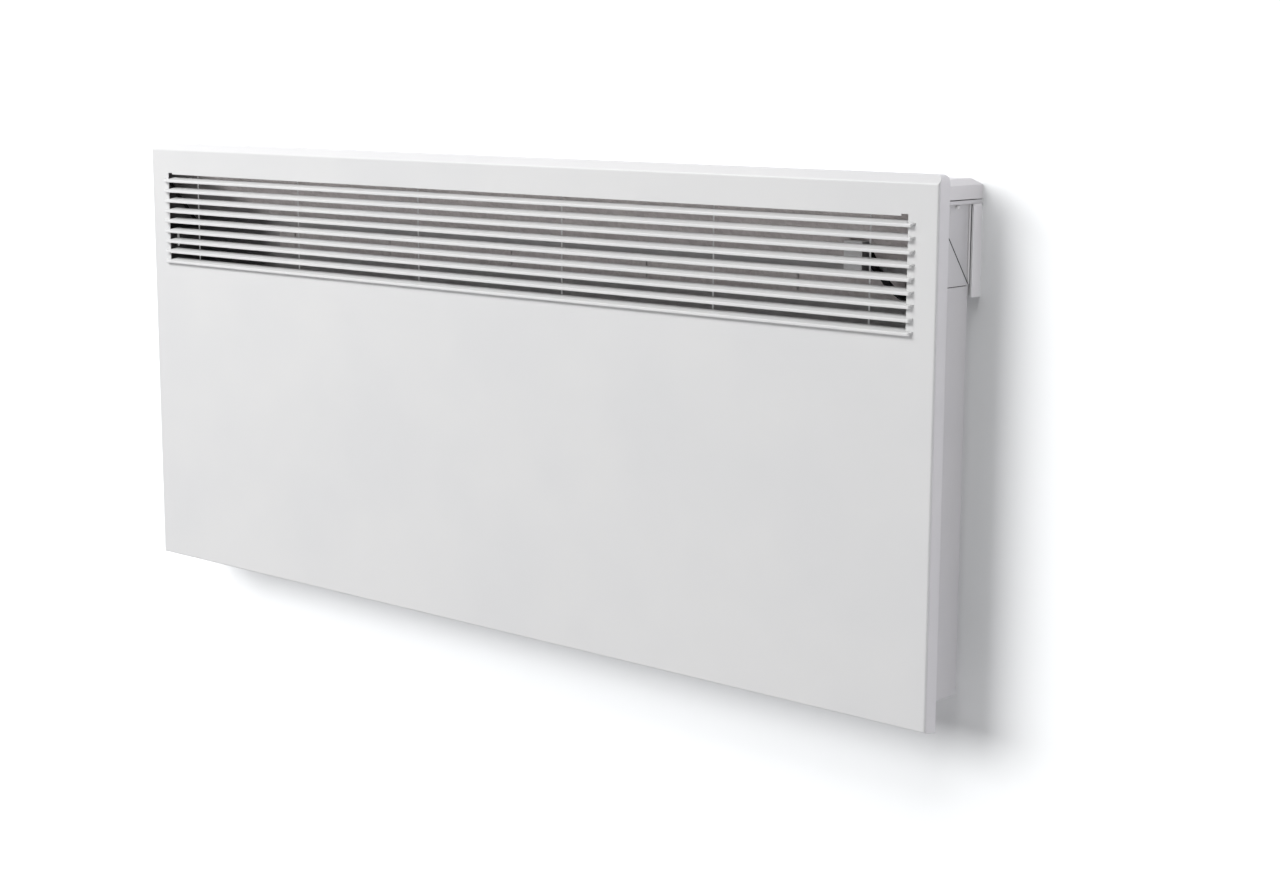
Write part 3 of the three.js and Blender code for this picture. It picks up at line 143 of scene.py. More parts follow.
class Finish:
    """A material under construction, or the world: its nodes, its shader and its output."""

    def __init__(self, name, world=None):
        self.material = world or bpy.data.materials.new(name)
        self.material.use_nodes = True
        self.tree = self.material.node_tree
        self.tree.nodes.clear()

    def node(self, kind, settings=None, values=None, output=0):
        """Adds a node, sets it up, then gives its sockets values or links."""
        made = self.tree.nodes.new(kind)
        for name, value in (settings or {}).items():
            if name == "stops":
                self.set_stops(made.color_ramp, value)
            else:
                setattr(made, name, value)
        for name, value in (values or {}).items():
            if isinstance(value, Socket):
                self.tree.links.new(value.output, made.inputs[name])
            else:
                made.inputs[name].default_value = value
        if output is None or not made.outputs:
            return made
        return Socket(self, made.outputs[output])

    def set_stops(self, ramp, stops):
        """Gives a ramp its places and colours: a new one starts in the middle and is then moved."""
        while len(ramp.elements) < len(stops):
            ramp.elements.new(0.5)
        for element, (place, colour) in zip(ramp.elements, stops):
            element.position = place
            element.color = (*colour, 1)

    def place(self):
        """Where a point is on the object, in metres: it moves with the piece."""
        return self.node("ShaderNodeTexCoord", output="Object")

    def axes(self):
        """The same place as three numbers: across, back and up."""
        spot = self.node("ShaderNodeSeparateXYZ", {}, {"Vector": self.place()}, None)
        return [Socket(self, spot.outputs[i]) for i in range(3)]

    def stretched(self, *scale):
        """The place with each axis scaled, so that a pattern may run along one of them."""
        return self.node("ShaderNodeMapping", {}, {"Vector": self.place(), "Scale": scale})

    def noise(self, where, scale, detail=2.0, roughness=0.5):
        values = {"Vector": where, "Scale": scale, "Detail": detail, "Roughness": roughness}
        return self.node("ShaderNodeTexNoise", {}, values)

    def cells(self, where, scale, output="Distance", feature="F1"):
        values = {"Vector": where, "Scale": scale}
        return self.node("ShaderNodeTexVoronoi", {"feature": feature}, values, output)

    def least(self, first, second):
        return self.node("ShaderNodeMath", {"operation": "MINIMUM"}, {0: first, 1: second})

    def ramp(self, value, *stops):
        return self.node("ShaderNodeValToRGB", {"stops": stops}, {"Fac": value})

    def steps(self, value, low, high):
        """0 below low, 1 above high and a smooth slope between."""
        values = {"Value": value, "From Min": low, "From Max": high}
        return self.node("ShaderNodeMapRange", {"interpolation_type": "SMOOTHSTEP"}, values)

    def mixed(self, share, first, second):
        """The first colour where the share is nought, the second where it is one."""
        values = {0: share, 6: first, 7: second}
        return self.node("ShaderNodeMix", {"data_type": "RGBA"}, values, 2)

    def bump(self, height, strength, distance, normal=None):
        values = {"Height": height, "Strength": strength, "Distance": distance}
        if normal is not None:
            values["Normal"] = normal
        return self.node("ShaderNodeBump", {}, values)

    def surface(self, **sockets):
        """The Principled shader with these sockets, joined to the output."""
        values = {name.replace("_", " "): value for name, value in sockets.items()}
        shader = self.node("ShaderNodeBsdfPrincipled", {}, values)
        self.node("ShaderNodeOutputMaterial", {}, {"Surface": shader})
        return self.material


def scaled(colour, level):
    """A colour made darker or paler, its three numbers at one at most."""
    return tuple(min(1, level * c) for c in colour)


def opaque(colour):
    """A colour with the fourth number that a socket wants."""
    return (*colour, 1)


# %% [markdown]
# ## White powder coat
# Powder paint melts into a skin with a faint orange peel: soft hills about a millimetre across,
# over a much finer grain. A bump made from two noises gives that. A clear coat layer would be too
# glossy, so the gloss comes from a middling roughness that varies a little. Bent sheet has no sharp
# edges, so a Bevel node turns the normals near each edge, and the edges catch a thin line of light.
#
# Faces inside the casing take a mid grey in place of the white coat. A point counts as inside when it
# lies deeper than half the sheet from the piece's own sides, back and floor. At the outlet's left end
# the inside is darker than these lamps leave it, so a darker grey with a soft edge, which slants down
# to the right, is painted there as shade.

# %% White powder coat
# Scales of patterns are in waves or cells per metre.
PEEL_SCALE = 700
GRAIN_SCALE = 3200
COAT_DRIFT_SCALE = 9
COAT_LOW = (0.772, 0.775, 0.778)
COAT_HIGH = (0.795, 0.796, 0.794)
COAT_SPECK = (0.62, 0.62, 0.62)
INSIDE_GREY = (0.58, 0.57, 0.575)
SHADE_GREY = (0.13, 0.125, 0.128)
EDGE_RADIUS = 0.7 * MM
HALF_SHEET = 0.6 * MM
SHADE_SLANT = -1.9
SHADE_START = 0.379
SHADE_LIMIT = -0.37
SHADE_BLUR = 0.022


def depth_inside(finish, low, high, floor_too):
    """How far a point is from the nearest outer side of a box, in metres."""
    x, y, z = finish.axes()
    nearest = finish.least(finish.least(x - low.x, high.x - x), high.y - y)
    return finish.least(nearest, z - low.z) if floor_too else nearest


def shaded_end(finish):
    """One at the outlet's left end, nought to the right of a line that slants down to the right."""
    x, y, z = finish.axes()
    line = finish.least(SHADE_SLANT * z - SHADE_START, SHADE_LIMIT)
    return 1 - finish.steps(x - line, -SHADE_BLUR, SHADE_BLUR)


def powder_coat(name="white_powder_coat", box=None, floor_too=False, level=1.0):
    finish = Finish(name)
    place = finish.place()
    peel = finish.noise(place, PEEL_SCALE, 3)
    grain = finish.noise(place, GRAIN_SCALE, 2)
    drift = finish.noise(place, COAT_DRIFT_SCALE, 2)
    colour = finish.ramp(drift, (0.35, scaled(COAT_LOW, level)), (0.65, scaled(COAT_HIGH, level)))
    coat = finish.mixed(0.05 * grain, colour, opaque(COAT_SPECK))
    if box:
        depth = depth_inside(finish, *box, floor_too)
        bare = finish.steps(depth, 0.8 * HALF_SHEET, 1.2 * HALF_SHEET)
        # Inside faces turn grey, and at the outlet's left end that grey turns to painted shade.
        inside = finish.mixed(shaded_end(finish), opaque(INSIDE_GREY), opaque(SHADE_GREY))
        coat = finish.mixed(bare, coat, inside)
    height = 0.7 * peel + 0.3 * grain
    rounded = finish.node("ShaderNodeBevel", {"samples": 4}, {"Radius": EDGE_RADIUS})
    return finish.surface(
        Base_Color=coat,
        Roughness=0.40 + 0.12 * grain,
        Specular_IOR_Level=0.45,
        Normal=finish.bump(height, 0.25, 0.00012, rounded))


# %% [markdown]
# ## White moulded plastic
# The cap and buttons are moulded with a spark-eroded texture, a fine matt grain pressed in by the
# tool. It differs from the paint by a finer bump and a slightly warmer white. The same recipe in black
# does for the fascia and the dark seam strips, which stand in for shade, and in a brighter white,
# which is painted light, for the wires and the small folds.

# %% White moulded plastic
SPARK_SCALE = 2600
MOULD_DRIFT_SCALE = 14


def moulded_plastic(name, colour, roughness):
    finish = Finish(name)
    place = finish.place()
    spark = finish.noise(place, SPARK_SCALE, 4, 0.7)
    drift = finish.noise(place, MOULD_DRIFT_SCALE, 2)
    shade = finish.ramp(drift, (0.35, scaled(colour, 0.97)), (0.65, scaled(colour, 1.02)))
    pitted = finish.mixed(0.10 * spark, shade, opaque(scaled(colour, 0.8)))
    return finish.surface(
        Base_Color=pitted,
        Roughness=roughness + 0.10 * spark,
        Specular_IOR_Level=0.4,
        Normal=finish.bump(spark, 0.35, 0.00008))


# %% [markdown]
# ## Coated steel inside the outlet
# Sheet that is dipped in metal shows spangle: flat crystals a few millimetres across, each a
# slightly different grey. Voronoi cells give the crystals, and each cell's own colour its shade.
# The sheet lies in warm shadow behind the blades, and its grey leans to a pinkish brown as painted
# shade; its left end is darkened with the same painted shade as the casing's.

# %% Coated steel
SPANGLE_SCALE = 320
STEEL_DRIFT_SCALE = 30
ROLLED_ALONG, ROLLED_ACROSS = 30, 1400
SPANGLE_LOW = (0.68, 0.63, 0.62)
SPANGLE_HIGH = (0.81, 0.76, 0.75)


def coated_steel():
    finish = Finish("coated_steel_sheet")
    place = finish.place()
    crystal = finish.cells(place, SPANGLE_SCALE, "Color")
    flat_crystal = finish.node("ShaderNodeSeparateColor", {}, {"Color": crystal})
    drift = finish.noise(place, STEEL_DRIFT_SCALE, 3)
    colour = finish.ramp(0.6 * drift + 0.4 * flat_crystal, (0.25, SPANGLE_LOW), (0.75, SPANGLE_HIGH))
    # The left end darkens to the same painted shade as the casing's.
    colour = finish.mixed(0.8 * shaded_end(finish), colour, opaque(SHADE_GREY))
    rolled = finish.noise(finish.stretched(ROLLED_ALONG, ROLLED_ACROSS, ROLLED_ACROSS), 1, 2)
    return finish.surface(
        Base_Color=colour,
        Metallic=0.2,
        Roughness=0.42 + 0.16 * flat_crystal,
        Normal=finish.bump(rolled, 0.2, 0.00006))


# %% [markdown]
# ## Extruded aluminium and drawn steel
# An extrusion keeps fine lines along its length, where it slid through the die. Stretching a noise
# along that axis draws them, which is simpler than waves and never looks regular. Drawn steel has
# the same lines but finer, so one function makes both.

# %% Lined metals
LINES_ALONG = 6
METAL_DRIFT_SCALE = 60


def lined_metal(name, colour, roughness, lines):
    finish = Finish(name)
    drawn = finish.noise(finish.stretched(LINES_ALONG, lines, lines), 1, 3)
    drift = finish.noise(finish.place(), METAL_DRIFT_SCALE, 2)
    streaks = 0.7 * drawn + 0.3 * drift
    shade = finish.ramp(streaks, (0.3, scaled(colour, 0.82)), (0.7, colour))
    return finish.surface(
        Base_Color=shade,
        Metallic=1.0,
        Roughness=roughness + 0.14 * drawn,
        Normal=finish.bump(drawn, 0.3, 0.00005))


# %% [markdown]
# ## Fired ceramic
# The bushes that carry the hot element are fired clay: matt, cream and speckled. A slow noise clouds
# the cream, and the high ends of a fine noise become the specks.

# %% Fired ceramic
SPECK_SCALE = 1500
CLOUD_SCALE = 90
CERAMIC_LOW = (0.66, 0.61, 0.52)
CERAMIC_HIGH = (0.74, 0.69, 0.60)
CERAMIC_SPECK = (0.40, 0.34, 0.26)


def fired_ceramic():
    finish = Finish("fired_ceramic")
    speck = finish.steps(finish.noise(finish.place(), SPECK_SCALE, 3), 0.60, 0.72)
    cloud = finish.noise(finish.place(), CLOUD_SCALE, 2)
    body = finish.ramp(cloud, (0.3, CERAMIC_LOW), (0.7, CERAMIC_HIGH))
    return finish.surface(
        Base_Color=finish.mixed(0.35 * speck, body, opaque(CERAMIC_SPECK)),
        Roughness=0.62 + 0.15 * cloud,
        Normal=finish.bump(cloud, 0.3, 0.0002))


# %% [markdown]
# ## The display lens
# The lens is black plastic under a clear polished face. A glass shader over a dark sheet would do,
# but it is slow and hides nothing but black, so a clear coat layer on a black body does the shine.
# A faint smudge in the roughness keeps it from looking like a hole.

# %% Lens
SMUDGE_SCALE = 45
LENS_LOW = (0.010, 0.010, 0.012)
LENS_HIGH = (0.016, 0.016, 0.019)


def clear_lens():
    finish = Finish("display_lens_gloss")
    smudge = finish.noise(finish.place(), SMUDGE_SCALE, 3)
    return finish.surface(
        Base_Color=finish.ramp(smudge, (0.3, LENS_LOW), (0.7, LENS_HIGH)),
        Roughness=0.08 + 0.06 * smudge,
        Coat_Weight=1.0,
        Coat_Roughness=0.03)


# %% [markdown]
# ## The circuit boards
# The boards are green laminate over copper tracks, which show as paler lines. Modelled tracks would
# be thousands of faces that nobody sees. The borders between Voronoi cells are straight lines that
# meet at corners, and read as tracks at this size.

# %% Circuit board
TRACK_SCALE = 260
WEAVE_SCALE = 2400
LAMINATE_LOW = (0.012, 0.085, 0.040)
LAMINATE_HIGH = (0.020, 0.120, 0.058)
TRACK_GREEN = (0.045, 0.20, 0.085)


def circuit_board():
    finish = Finish("circuit_laminate")
    place = finish.place()
    edge = finish.cells(place, TRACK_SCALE, feature="DISTANCE_TO_EDGE")
    track = 1 - finish.steps(edge, 0.05, 0.09)
    weave = finish.noise(place, WEAVE_SCALE, 2)
    board = finish.ramp(weave, (0.3, LAMINATE_LOW), (0.7, LAMINATE_HIGH))
    return finish.surface(
        Base_Color=finish.mixed(0.7 * track, board, opaque(TRACK_GREEN)),
        Roughness=0.38 + 0.15 * weave,
        Normal=finish.bump(track, 0.4, 0.00008))


# %% [markdown]
# ## The leads' sleeves
# Near a heating element the leads wear a knitted glass sleeve. Two wave patterns that cross, one the
# mirror of the other, multiply to a knit, and the bump raises it from the surface.

# %% Knitted sleeve
KNIT_SCALE = 420
KNIT_LOW = (0.006, 0.006, 0.006)
KNIT_HIGH = (0.022, 0.022, 0.023)


def knitted_sleeve():
    finish = Finish("lead_sleeve_knit")
    band = {"bands_direction": "DIAGONAL"}
    one_way, other_way = (
        finish.node("ShaderNodeTexWave", band, {"Vector": where, "Scale": KNIT_SCALE})
        for where in (finish.place(), finish.stretched(-1, 1, 1)))
    knit = one_way * other_way
    shade = finish.ramp(knit, (0.1, KNIT_LOW), (0.9, KNIT_HIGH))
    return finish.surface(
        Base_Color=shade,
        Roughness=0.75 - 0.15 * knit,
        Normal=finish.bump(knit, 0.6, 0.0003))


# %% [markdown]
# ## Dressing the model's own pieces
# The record groups the pieces by material slot, so one table from slot to finish dresses most of them.
# A second table names the pieces that differ: the casing's sheets, whose white is darkened as painted
# shade and which are grey inside, and the wires behind the blades and the bracket's bent ends, whose
# brighter white is painted light.

# %% The finishes
WHITE_PLASTIC = (0.80, 0.80, 0.795)
BLACK_PLASTIC = (0.020, 0.020, 0.021)
ALUMINIUM = (0.62, 0.62, 0.63)
STAINLESS = (0.46, 0.455, 0.44)
PAINTED_LIGHT_WHITE = (0.95, 0.95, 0.95)
finishes = {
    "white_steel": powder_coat(),
    "white_plastic": moulded_plastic("white_moulded_plastic", WHITE_PLASTIC, 0.42),
    "bare_steel": coated_steel(),
    "aluminium": lined_metal("extruded_aluminium", ALUMINIUM, 0.34, 1800),
    "stainless": lined_metal("drawn_stainless", STAINLESS, 0.26, 3600),
    "ceramic": fired_ceramic(),
    "black_plastic": moulded_plastic("black_moulded_plastic", BLACK_PLASTIC, 0.46),
    "dark_lens": clear_lens(),
    "circuit_board": circuit_board(),
    "lead_sleeve": knitted_sleeve(),
}
# A brighter copy of the white, for small pieces that should look more lit than these lamps leave them:
# painted light.
painted_light_white = moulded_plastic("painted_light_white", PAINTED_LIGHT_WHITE, 0.3)
print("finishes", sorted(finishes))

# %% Dress the nodes
# The casing's sheets take the white coat at a lower level, which is painted shade: their sides stand
# back from the panel's flange, in its shade.
PAINTED_SHADE_LEVEL = 0.88
TIE_RODS = 6
casing_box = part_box("rear_casing")
side_plate_paint = powder_coat("side_plate_paint", casing_box, level=PAINTED_SHADE_LEVEL)
own_finish = {
    "rear_casing": powder_coat("rear_casing_paint", casing_box, True, PAINTED_SHADE_LEVEL),
    "side_gusset_left": side_plate_paint,
    "side_gusset_right": side_plate_paint,
    # The bracket's cheeks take the brighter white: painted light.
    "bracket_cheek_left": painted_light_white,
    "bracket_cheek_right": painted_light_white,
}
own_finish |= {name: powder_coat(name + "_paint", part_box(name), level=PAINTED_SHADE_LEVEL)
               for name in ("upper_casing", "top_tray")}
# The tie rods behind the blades take the brighter white: painted light, for they lie in the blades'
# shade.
own_finish |= {f"grille_tie_rod_{i + 1}": painted_light_white for i in range(TIE_RODS)}
slot_of = {part["node"]: part["material_slot"] for part in frame["record"]["subparts"]}
for name, node in nodes.items():
    for material_slot in node.material_slots:
        material_slot.material = own_finish.get(name, finishes[slot_of[name]])
print("dressed", len(slot_of), "pieces,", len(own_finish), "of them in a finish of their own")

# %% [markdown]
# ## Small pieces: a mesh from points
# The screws, the dark seam strips, the hems and the clip are each a small mesh built point by point. A
# ring of points is lofted to the next ring, and the first and last rings are closed with a cap. A cube
# scaled to size would be quicker, but its edges would all be razor sharp.

# %% Lofts
SMOOTH_BELOW = math.radians(35)


def ring(radius, height, count=32):
    turn = 2 * math.pi / count
    return [(radius * math.cos(i * turn), radius * math.sin(i * turn), height) for i in range(count)]


def lofted(name, rings):
    """A closed mesh through rings of the same count of points, capped at both ends."""
    mesh = bmesh.new()
    rows = [[mesh.verts.new(point) for point in row] for row in rings]
    for low, high in zip(rows, rows[1:]):
        for i in range(len(low)):
            j = (i + 1) % len(low)
            mesh.faces.new((low[i], low[j], high[j], high[i]))
    mesh.faces.new(list(reversed(rows[0])))
    mesh.faces.new(rows[-1])
    bmesh.ops.recalc_face_normals(mesh, faces=mesh.faces)
    data = bpy.data.meshes.new(name)
    mesh.to_mesh(data)
    mesh.free()
    piece = bpy.data.objects.new(name, data)
    bpy.context.scene.collection.objects.link(piece)
    return piece


def finished(piece, body, slot_name, finish=None):
    """Gives a new piece its finish, its body and smooth shading across its shallow edges."""
    piece.data.materials.append(finish or finishes[slot_name])
    piece.data.shade_smooth()
    piece.data.set_sharp_from_angle(angle=SMOOTH_BELOW)
    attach(piece, body)
    return piece


# %% [markdown]
# ## The side screws
# A small raised head just under the lip holds each end of the cap. A real head is domed with a cross
# pressed into it, and this one takes the brighter white, which is painted light on the small head.
# Here a lofted dome gets two crossing bars cut away by a Boolean modifier, since a recess drawn with a
# bump wouldn't be there in the mesh. The imported head is a plain disc, so this one replaces it.

# %% Side screws
DOME = [(0.0, 0.999), (0.45, 0.999), (0.70, 0.90), (0.88, 0.66), (0.97, 0.36), (1.0, 0.12)]
CROSS_LENGTH = 1.1
CROSS_WIDTH = 0.18
CROSS_DEPTH = 0.24


def cross_cutter(size, width, depth):
    """Two flat bars across each other, to cut a cross with."""
    mesh = bmesh.new()
    for turn in (0, 90):
        made = bmesh.ops.create_cube(mesh, size=1)
        bmesh.ops.scale(mesh, vec=(size, width, depth), verts=made["verts"])
        spin = Matrix.Rotation(math.radians(turn), 3, "Z")
        bmesh.ops.rotate(mesh, cent=(0, 0, 0), matrix=spin, verts=made["verts"])
    data = bpy.data.meshes.new("cross_cutter")
    mesh.to_mesh(data)
    mesh.free()
    cutter = bpy.data.objects.new("cross_cutter", data)
    bpy.context.scene.collection.objects.link(cutter)
    return cutter


def side_screw(side, node_name):
    """A domed head with a cross. DOME holds its rings as shares of the height and the radius."""
    low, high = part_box(node_name)
    middle = (low + high) / 2
    radius = (high.z - low.z) / 2
    height = high.x - low.x
    screw = lofted(node_name + "_head", [ring(radius * r, height * (h - 0.5)) for h, r in DOME])
    cutter = cross_cutter(radius * CROSS_LENGTH, radius * CROSS_WIDTH, height * CROSS_DEPTH)
    cutter.location.z = height * 0.5
    cut = screw.modifiers.new("cross", "BOOLEAN")
    cut.object = cutter
    cut.solver = "EXACT"
    cut.use_self = True
    screw_mesh = bpy.data.meshes.new_from_object(
        screw.evaluated_get(bpy.context.evaluated_depsgraph_get()))
    screw.modifiers.clear()
    screw.data = screw_mesh
    bpy.data.objects.remove(cutter)
    turn = Matrix.Rotation(side * math.pi / 2, 4, "Y")
    screw.data.transform(Matrix.Translation(middle) @ turn)
    # The head's brighter white is painted light.
    finished(screw, "heater", "white_steel", painted_light_white)
    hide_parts(node_name)
    print(node_name, "radius mm", round(radius / MM, 2), "faces", len(screw.data.polygons))


side_screw(-1, "side_screw_left")
side_screw(1, "side_screw_right")

# %% [markdown]
# ## The seam shade strips
# Behind the seams between the side plates lies a black strip, a dark sheet that paints the shade in
# each seam, so that each seam is a thin dark line. It is one flat shape: a level arm under the small
# plate and a slanting arm behind its sloping edge. The outlines of its two faces are set in a little
# from the middle's, so that the strip has soft edges. A narrow black lip shows along the sloping edge,
# where the small plate stands proud of the large one, and paints the shade of that step.

# %% Seam shade strips
PANEL_TO_ROW = Vector((0, -70, -387.1))
SEAM_SHADE_OUTLINE = [(2.2, 357.5), (52.9, 357.5), (52.9, 363.0), (4.4, 425.8), (2.2, 425.8),
                (2.2, 422.6), (47.6, 363.8), (2.2, 363.8)]
SEAM_SHADE_FACES = [(491.95, 0.25), (492.2, 0.0), (492.9, 0.0), (493.15, 0.25)]
SHADE_LIP_OUTLINE = [(54.4, 361.6), (55.7, 361.6), (5.3, 427.0), (4.0, 427.0)]
SHADE_LIP_FACES = [(493.03, 0.0), (494.3, 0.0), (494.45, 0.15)]
SIDES = ((-1, "left"), (1, "right"))


def in_row(x, y, z):
    """A place measured on the panel in millimetres, in the frame that every piece shares."""
    return tuple((Vector((x, y, z)) + PANEL_TO_ROW) * MM)


def inset(outline, gap):
    """The outline moved inward: each corner moves along the sum of its two edges' normals."""
    corners = [Vector(point) for point in outline]
    moved = []
    for i, corner in enumerate(corners):
        before = (corner - corners[i - 1]).normalized()
        after = (corners[(i + 1) % len(corners)] - corner).normalized()
        normals = [Vector((-edge.y, edge.x)) for edge in (before, after)]
        both = normals[0] + normals[1]
        moved.append(corner + both * (gap / max(0.5, 1 + normals[0].dot(normals[1]))))
    return moved


def flat_piece(name, outline, faces, side):
    """A flat outline lofted across the heater: faces give each place along x and its inset."""
    rings = [[in_row(side * x, *point) for point in inset(outline, gap)] for x, gap in faces]
    return finished(lofted(name, rings), "heater", "black_plastic")


# Both pieces are black: painted shade in the seams.
for side, name in SIDES:
    flat_piece("seam_seal_" + name, SEAM_SHADE_OUTLINE, SEAM_SHADE_FACES, side)
    flat_piece("seam_lip_" + name, SHADE_LIP_OUTLINE, SHADE_LIP_FACES, side)
print("seams sealed on both sides")

# %% [markdown]
# ## The upright hems
# Each rear corner of the upper casing ends in a rolled hem, seen from the side as a thin pale line
# before the dark gap in front of the bracket. A round section drawn up the corner gives it, and its
# brighter white is a painted highlight.
#
# The bracket's cheeks reach up to the lip. The imported cheeks stop a little lower, and a small capped
# block with a soft edge fills that step, in the same brighter white, which is painted light.

# %% Hems and cheek tops
HEM_PLACE = (493.7, 56.4)
HEM_RINGS = [(361.4, 0.5), (362.0, 0.85), (424.4, 0.85), (424.9, 0.5)]
CHEEK_PLACE = (495.75, 63.7)
CHEEK_RINGS = [(422.6, 0.74), (424.8, 0.74), (425.1, 0.6)]
CHEEK_STRETCH = 8.4


def upright(name, place, rings, body, count=16, deeper=1):
    """A piece lofted up a straight line: rings of (height, radius), made deeper front to back."""
    across, depth = place
    rows = [[in_row(across + x, depth + deeper * y, height + z) for x, y, z in ring(radius, 0, count)]
            for height, radius in rings]
    # Every upright takes the brighter white, which is painted light.
    return finished(lofted(name, rows), body, "white_steel", painted_light_white)


for side, name in SIDES:
    hem = (side * HEM_PLACE[0], HEM_PLACE[1])
    upright("corner_hem_" + name, hem, HEM_RINGS, "heater")
    cheek = (side * CHEEK_PLACE[0], CHEEK_PLACE[1])
    upright("cheek_top_" + name, cheek, CHEEK_RINGS, "bracket", 32, CHEEK_STRETCH)
print("hems and cheek tops made")

# %% [markdown]
# ## The grille's end clip
# Near the outlet's left end a short white wire stands behind the fifth, sixth and seventh blades, and
# holds them at their pitch. It is lofted up a straight line, with a rounded foot, and its brighter
# white is painted light.

# %% End clip
CLIP_PLACE = (-469.5, 7.9)
CLIP_RINGS = [(340.6, 0.25), (340.9, 0.8), (341.6, 1.2), (355.4, 1.2), (356.0, 0.7)]
clip = upright("grille_end_clip", CLIP_PLACE, CLIP_RINGS, "heater", 12)
print("end clip, faces", len(clip.data.polygons))

# %% [markdown]
# ## The wall and the floor
# The heater hangs on a plain white wall. The wall keeps the heater's soft shadow, and a little glow
# for the camera and for gloss lifts the rest of it to white. Light that bounces off it meets a
# darker paint, or it would wash out the shading of the heater's side. Seen from behind, the wall is
# clear, so that the rear of the heater can be looked at. It also lets shadow rays pass, for the lamp
# behind.

# %% Wall and floor
WALL_COLOUR = (0.788, 0.80, 0.806)
WALL_BOUNCE = (0.505, 0.49, 0.53)
WALL_GLOW = 0.02
ROLLER_SCALE = 220
FLOOR_GRAIN_SCALE = 40
FLOOR_LOW = (0.60, 0.60, 0.60)
FLOOR_HIGH = (0.64, 0.64, 0.64)
BLACK = (0, 0, 0)
WHITE = (1, 1, 1)


def wall_finish():
    finish = Finish("white_wall_paint")
    seen = finish.node("ShaderNodeLightPath", output="Is Camera Ray")
    gloss = finish.node("ShaderNodeLightPath", output="Is Glossy Ray")
    through = finish.node("ShaderNodeLightPath", output="Is Shadow Ray")
    behind = finish.node("ShaderNodeNewGeometry", output="Backfacing")
    roller = finish.noise(finish.place(), ROLLER_SCALE, 3)
    paint = finish.node(
        "ShaderNodeBsdfPrincipled", {},
        {"Base Color": finish.mixed(seen, opaque(WALL_BOUNCE), opaque(WALL_COLOUR)),
         "Roughness": 0.9,
         "Specular IOR Level": 0.1,
         "Emission Color": finish.mixed(seen + gloss, opaque(BLACK), opaque(WHITE)),
         "Emission Strength": WALL_GLOW,
         "Normal": finish.bump(roller, 0.1, 0.0002)})
    clear = finish.node("ShaderNodeBsdfTransparent")
    either = finish.node("ShaderNodeMath", {"operation": "MAXIMUM"}, {0: behind, 1: through})
    both = finish.node("ShaderNodeMixShader", {}, {0: either, 1: paint, 2: clear})
    finish.node("ShaderNodeOutputMaterial", {}, {"Surface": both})
    return finish.material


def floor_finish():
    finish = Finish("pale_floor")
    grain = finish.noise(finish.place(), FLOOR_GRAIN_SCALE, 4)
    return finish.surface(
        Base_Color=finish.ramp(grain, (0.3, FLOOR_LOW), (0.7, FLOOR_HIGH)),
        Roughness=0.85)


def sheet_of(name, corners, material):
    """A flat sheet through four corners, which belongs to the stage and not to the heater."""
    data = bpy.data.meshes.new(name)
    data.from_pydata(corners, [], [(0, 1, 2, 3)])
    piece = bpy.data.objects.new(name, data)
    bpy.context.scene.collection.objects.link(piece)
    piece.data.materials.append(material)
    return piece


WALL_PLACE = 0.5 * MM
WALL_TOP = 6
FLOOR_HEIGHT = -0.95
REACH = 8
wall = sheet_of("wall", [(-REACH, WALL_PLACE, FLOOR_HEIGHT), (REACH, WALL_PLACE, FLOOR_HEIGHT),
                         (REACH, WALL_PLACE, WALL_TOP), (-REACH, WALL_PLACE, WALL_TOP)],
                wall_finish())
floor = sheet_of("floor", [(-REACH, -REACH, FLOOR_HEIGHT), (REACH, -REACH, FLOOR_HEIGHT),
                           (REACH, REACH, FLOOR_HEIGHT), (-REACH, REACH, FLOOR_HEIGHT)],
                 floor_finish())
print("wall and floor staged")

# %% [markdown]
# ## The world
# The world is white to the camera, which gives the plain background, and adds only a little light
# from everywhere to the pieces. Light Path tells a ray from the camera from all the others.

# %% World
WORLD_LEVEL = 0.07
SEEN_LEVEL = 1.0
studio = bpy.data.worlds.new("white_studio")
bpy.context.scene.world = studio
sky = Finish("white_studio", studio)
camera_ray = sky.node("ShaderNodeLightPath", output="Is Camera Ray")
lit, seen = (sky.node("ShaderNodeBackground", {}, {"Color": opaque(WHITE), "Strength": level})
             for level in (WORLD_LEVEL, SEEN_LEVEL))
both = sky.node("ShaderNodeMixShader", {}, {0: camera_ray, 1: lit, 2: seen})
sky.node("ShaderNodeOutputWorld", {}, {"Surface": both})
print("world level", WORLD_LEVEL)

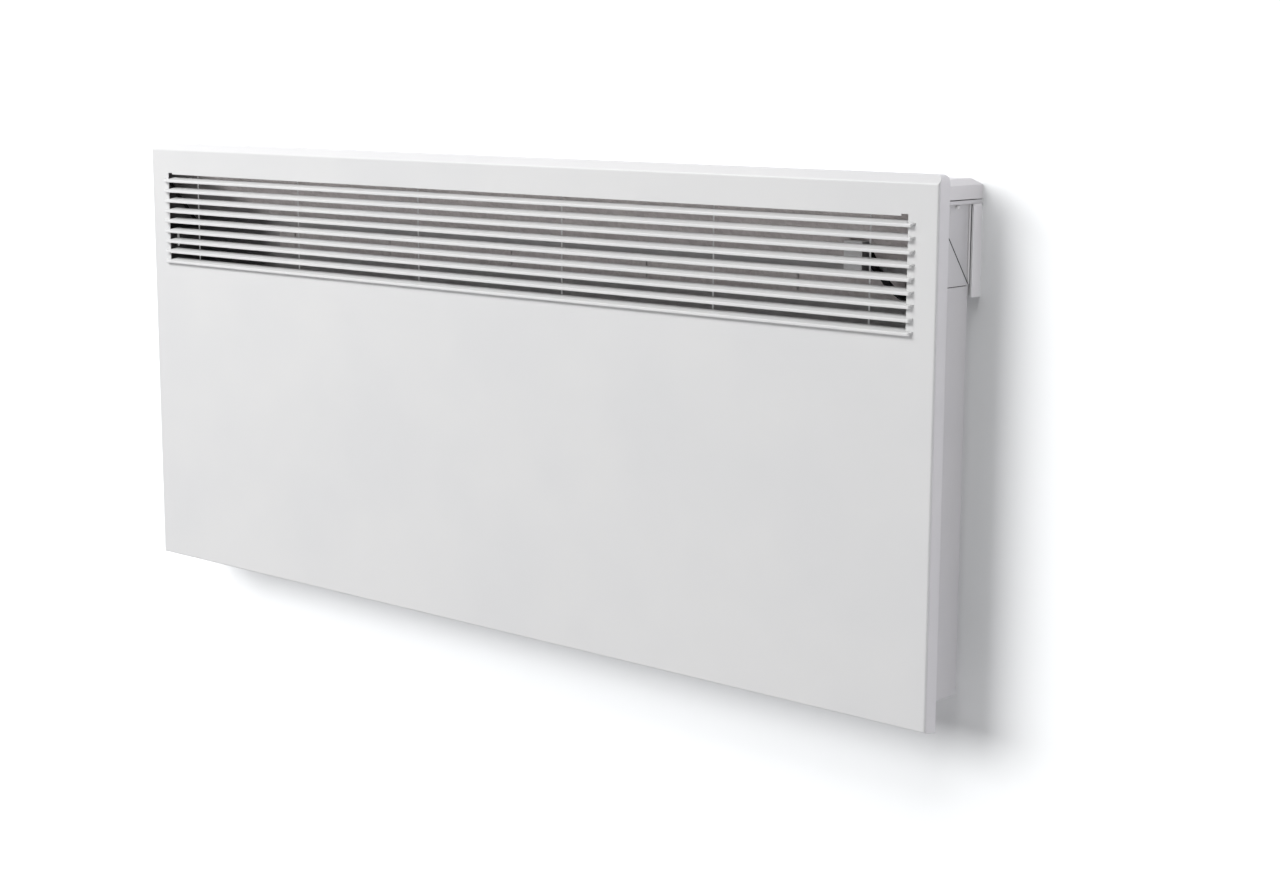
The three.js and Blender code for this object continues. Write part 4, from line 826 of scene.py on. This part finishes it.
# %% [markdown]
# ## What each lamp lights
# A wall this close to a pale object would glare, or go grey, with the same lamps. Light linking lets
# each lamp say which pieces it lights: two lamps light only the wall, which still catches the
# heater's soft shadow from them, one lights only the floor, and the rest light all but these two.

# %% What each lamp lights
def linked(name, *pieces):
    """A collection that a lamp's light linking can point at."""
    collection = bpy.data.collections.new(name)
    for piece in pieces:
        collection.objects.link(piece)
    return collection


wall_only = linked("wall_only", wall)
floor_only = linked("floor_only", floor)
all_but_backdrop = linked("all_but_backdrop", wall, floor)
for link in all_but_backdrop.collection_objects:
    link.light_linking.link_state = "EXCLUDE"

# %% [markdown]
# ## The lamps
# The photograph's light comes from above and to the left: the face is brightest at its left end, and
# the tops of the blades are the palest part of all. A long soft box up there does that, a large one
# low on the left fills under the blades, and a weaker one on the right lights the side. The sum on
# the face is a little under one, at which a colour renders about as it is written. A last one behind
# the wall lights the back, for the views from behind.

# %% Lamps
AIM = Vector((0, 0, 0))


def softbox(name, place, size, watts, lights):
    """A lamp that faces the heater's middle and lights only one collection."""
    lamp = bpy.data.lights.new(name, "AREA")
    lamp.shape = "RECTANGLE"
    lamp.size, lamp.size_y = size
    lamp.energy = watts
    holder = bpy.data.objects.new(name, lamp)
    holder.location = place
    holder.rotation_euler = (AIM - Vector(place)).to_track_quat("-Z", "Y").to_euler()
    holder.light_linking.receiver_collection = lights
    bpy.context.scene.collection.objects.link(holder)


softbox("above_left", (-1.8, -2.6, 2.4), (2.6, 1.4), 156, all_but_backdrop)
softbox("left", (-4.6, -2.6, 1.0), (3.0, 3.0), 26, all_but_backdrop)
softbox("right", (3.6, -1.2, 0.4), (2.0, 2.0), 19, all_but_backdrop)
softbox("rear_fill", (0.4, 2.9, 0.8), (2.5, 1.5), 46, all_but_backdrop)
softbox("wall_left", (-1.8, -3.1, 1.2), (3.8, 2.2), 214, wall_only)
softbox("wall_above", (0.0, -2.0, 3.2), (4.0, 2.0), 118, wall_only)
softbox("floor_above", (0.0, 0.0, 5.0), (14.0, 14.0), 820, floor_only)
print("lamps", [lamp.name for lamp in bpy.data.lights])
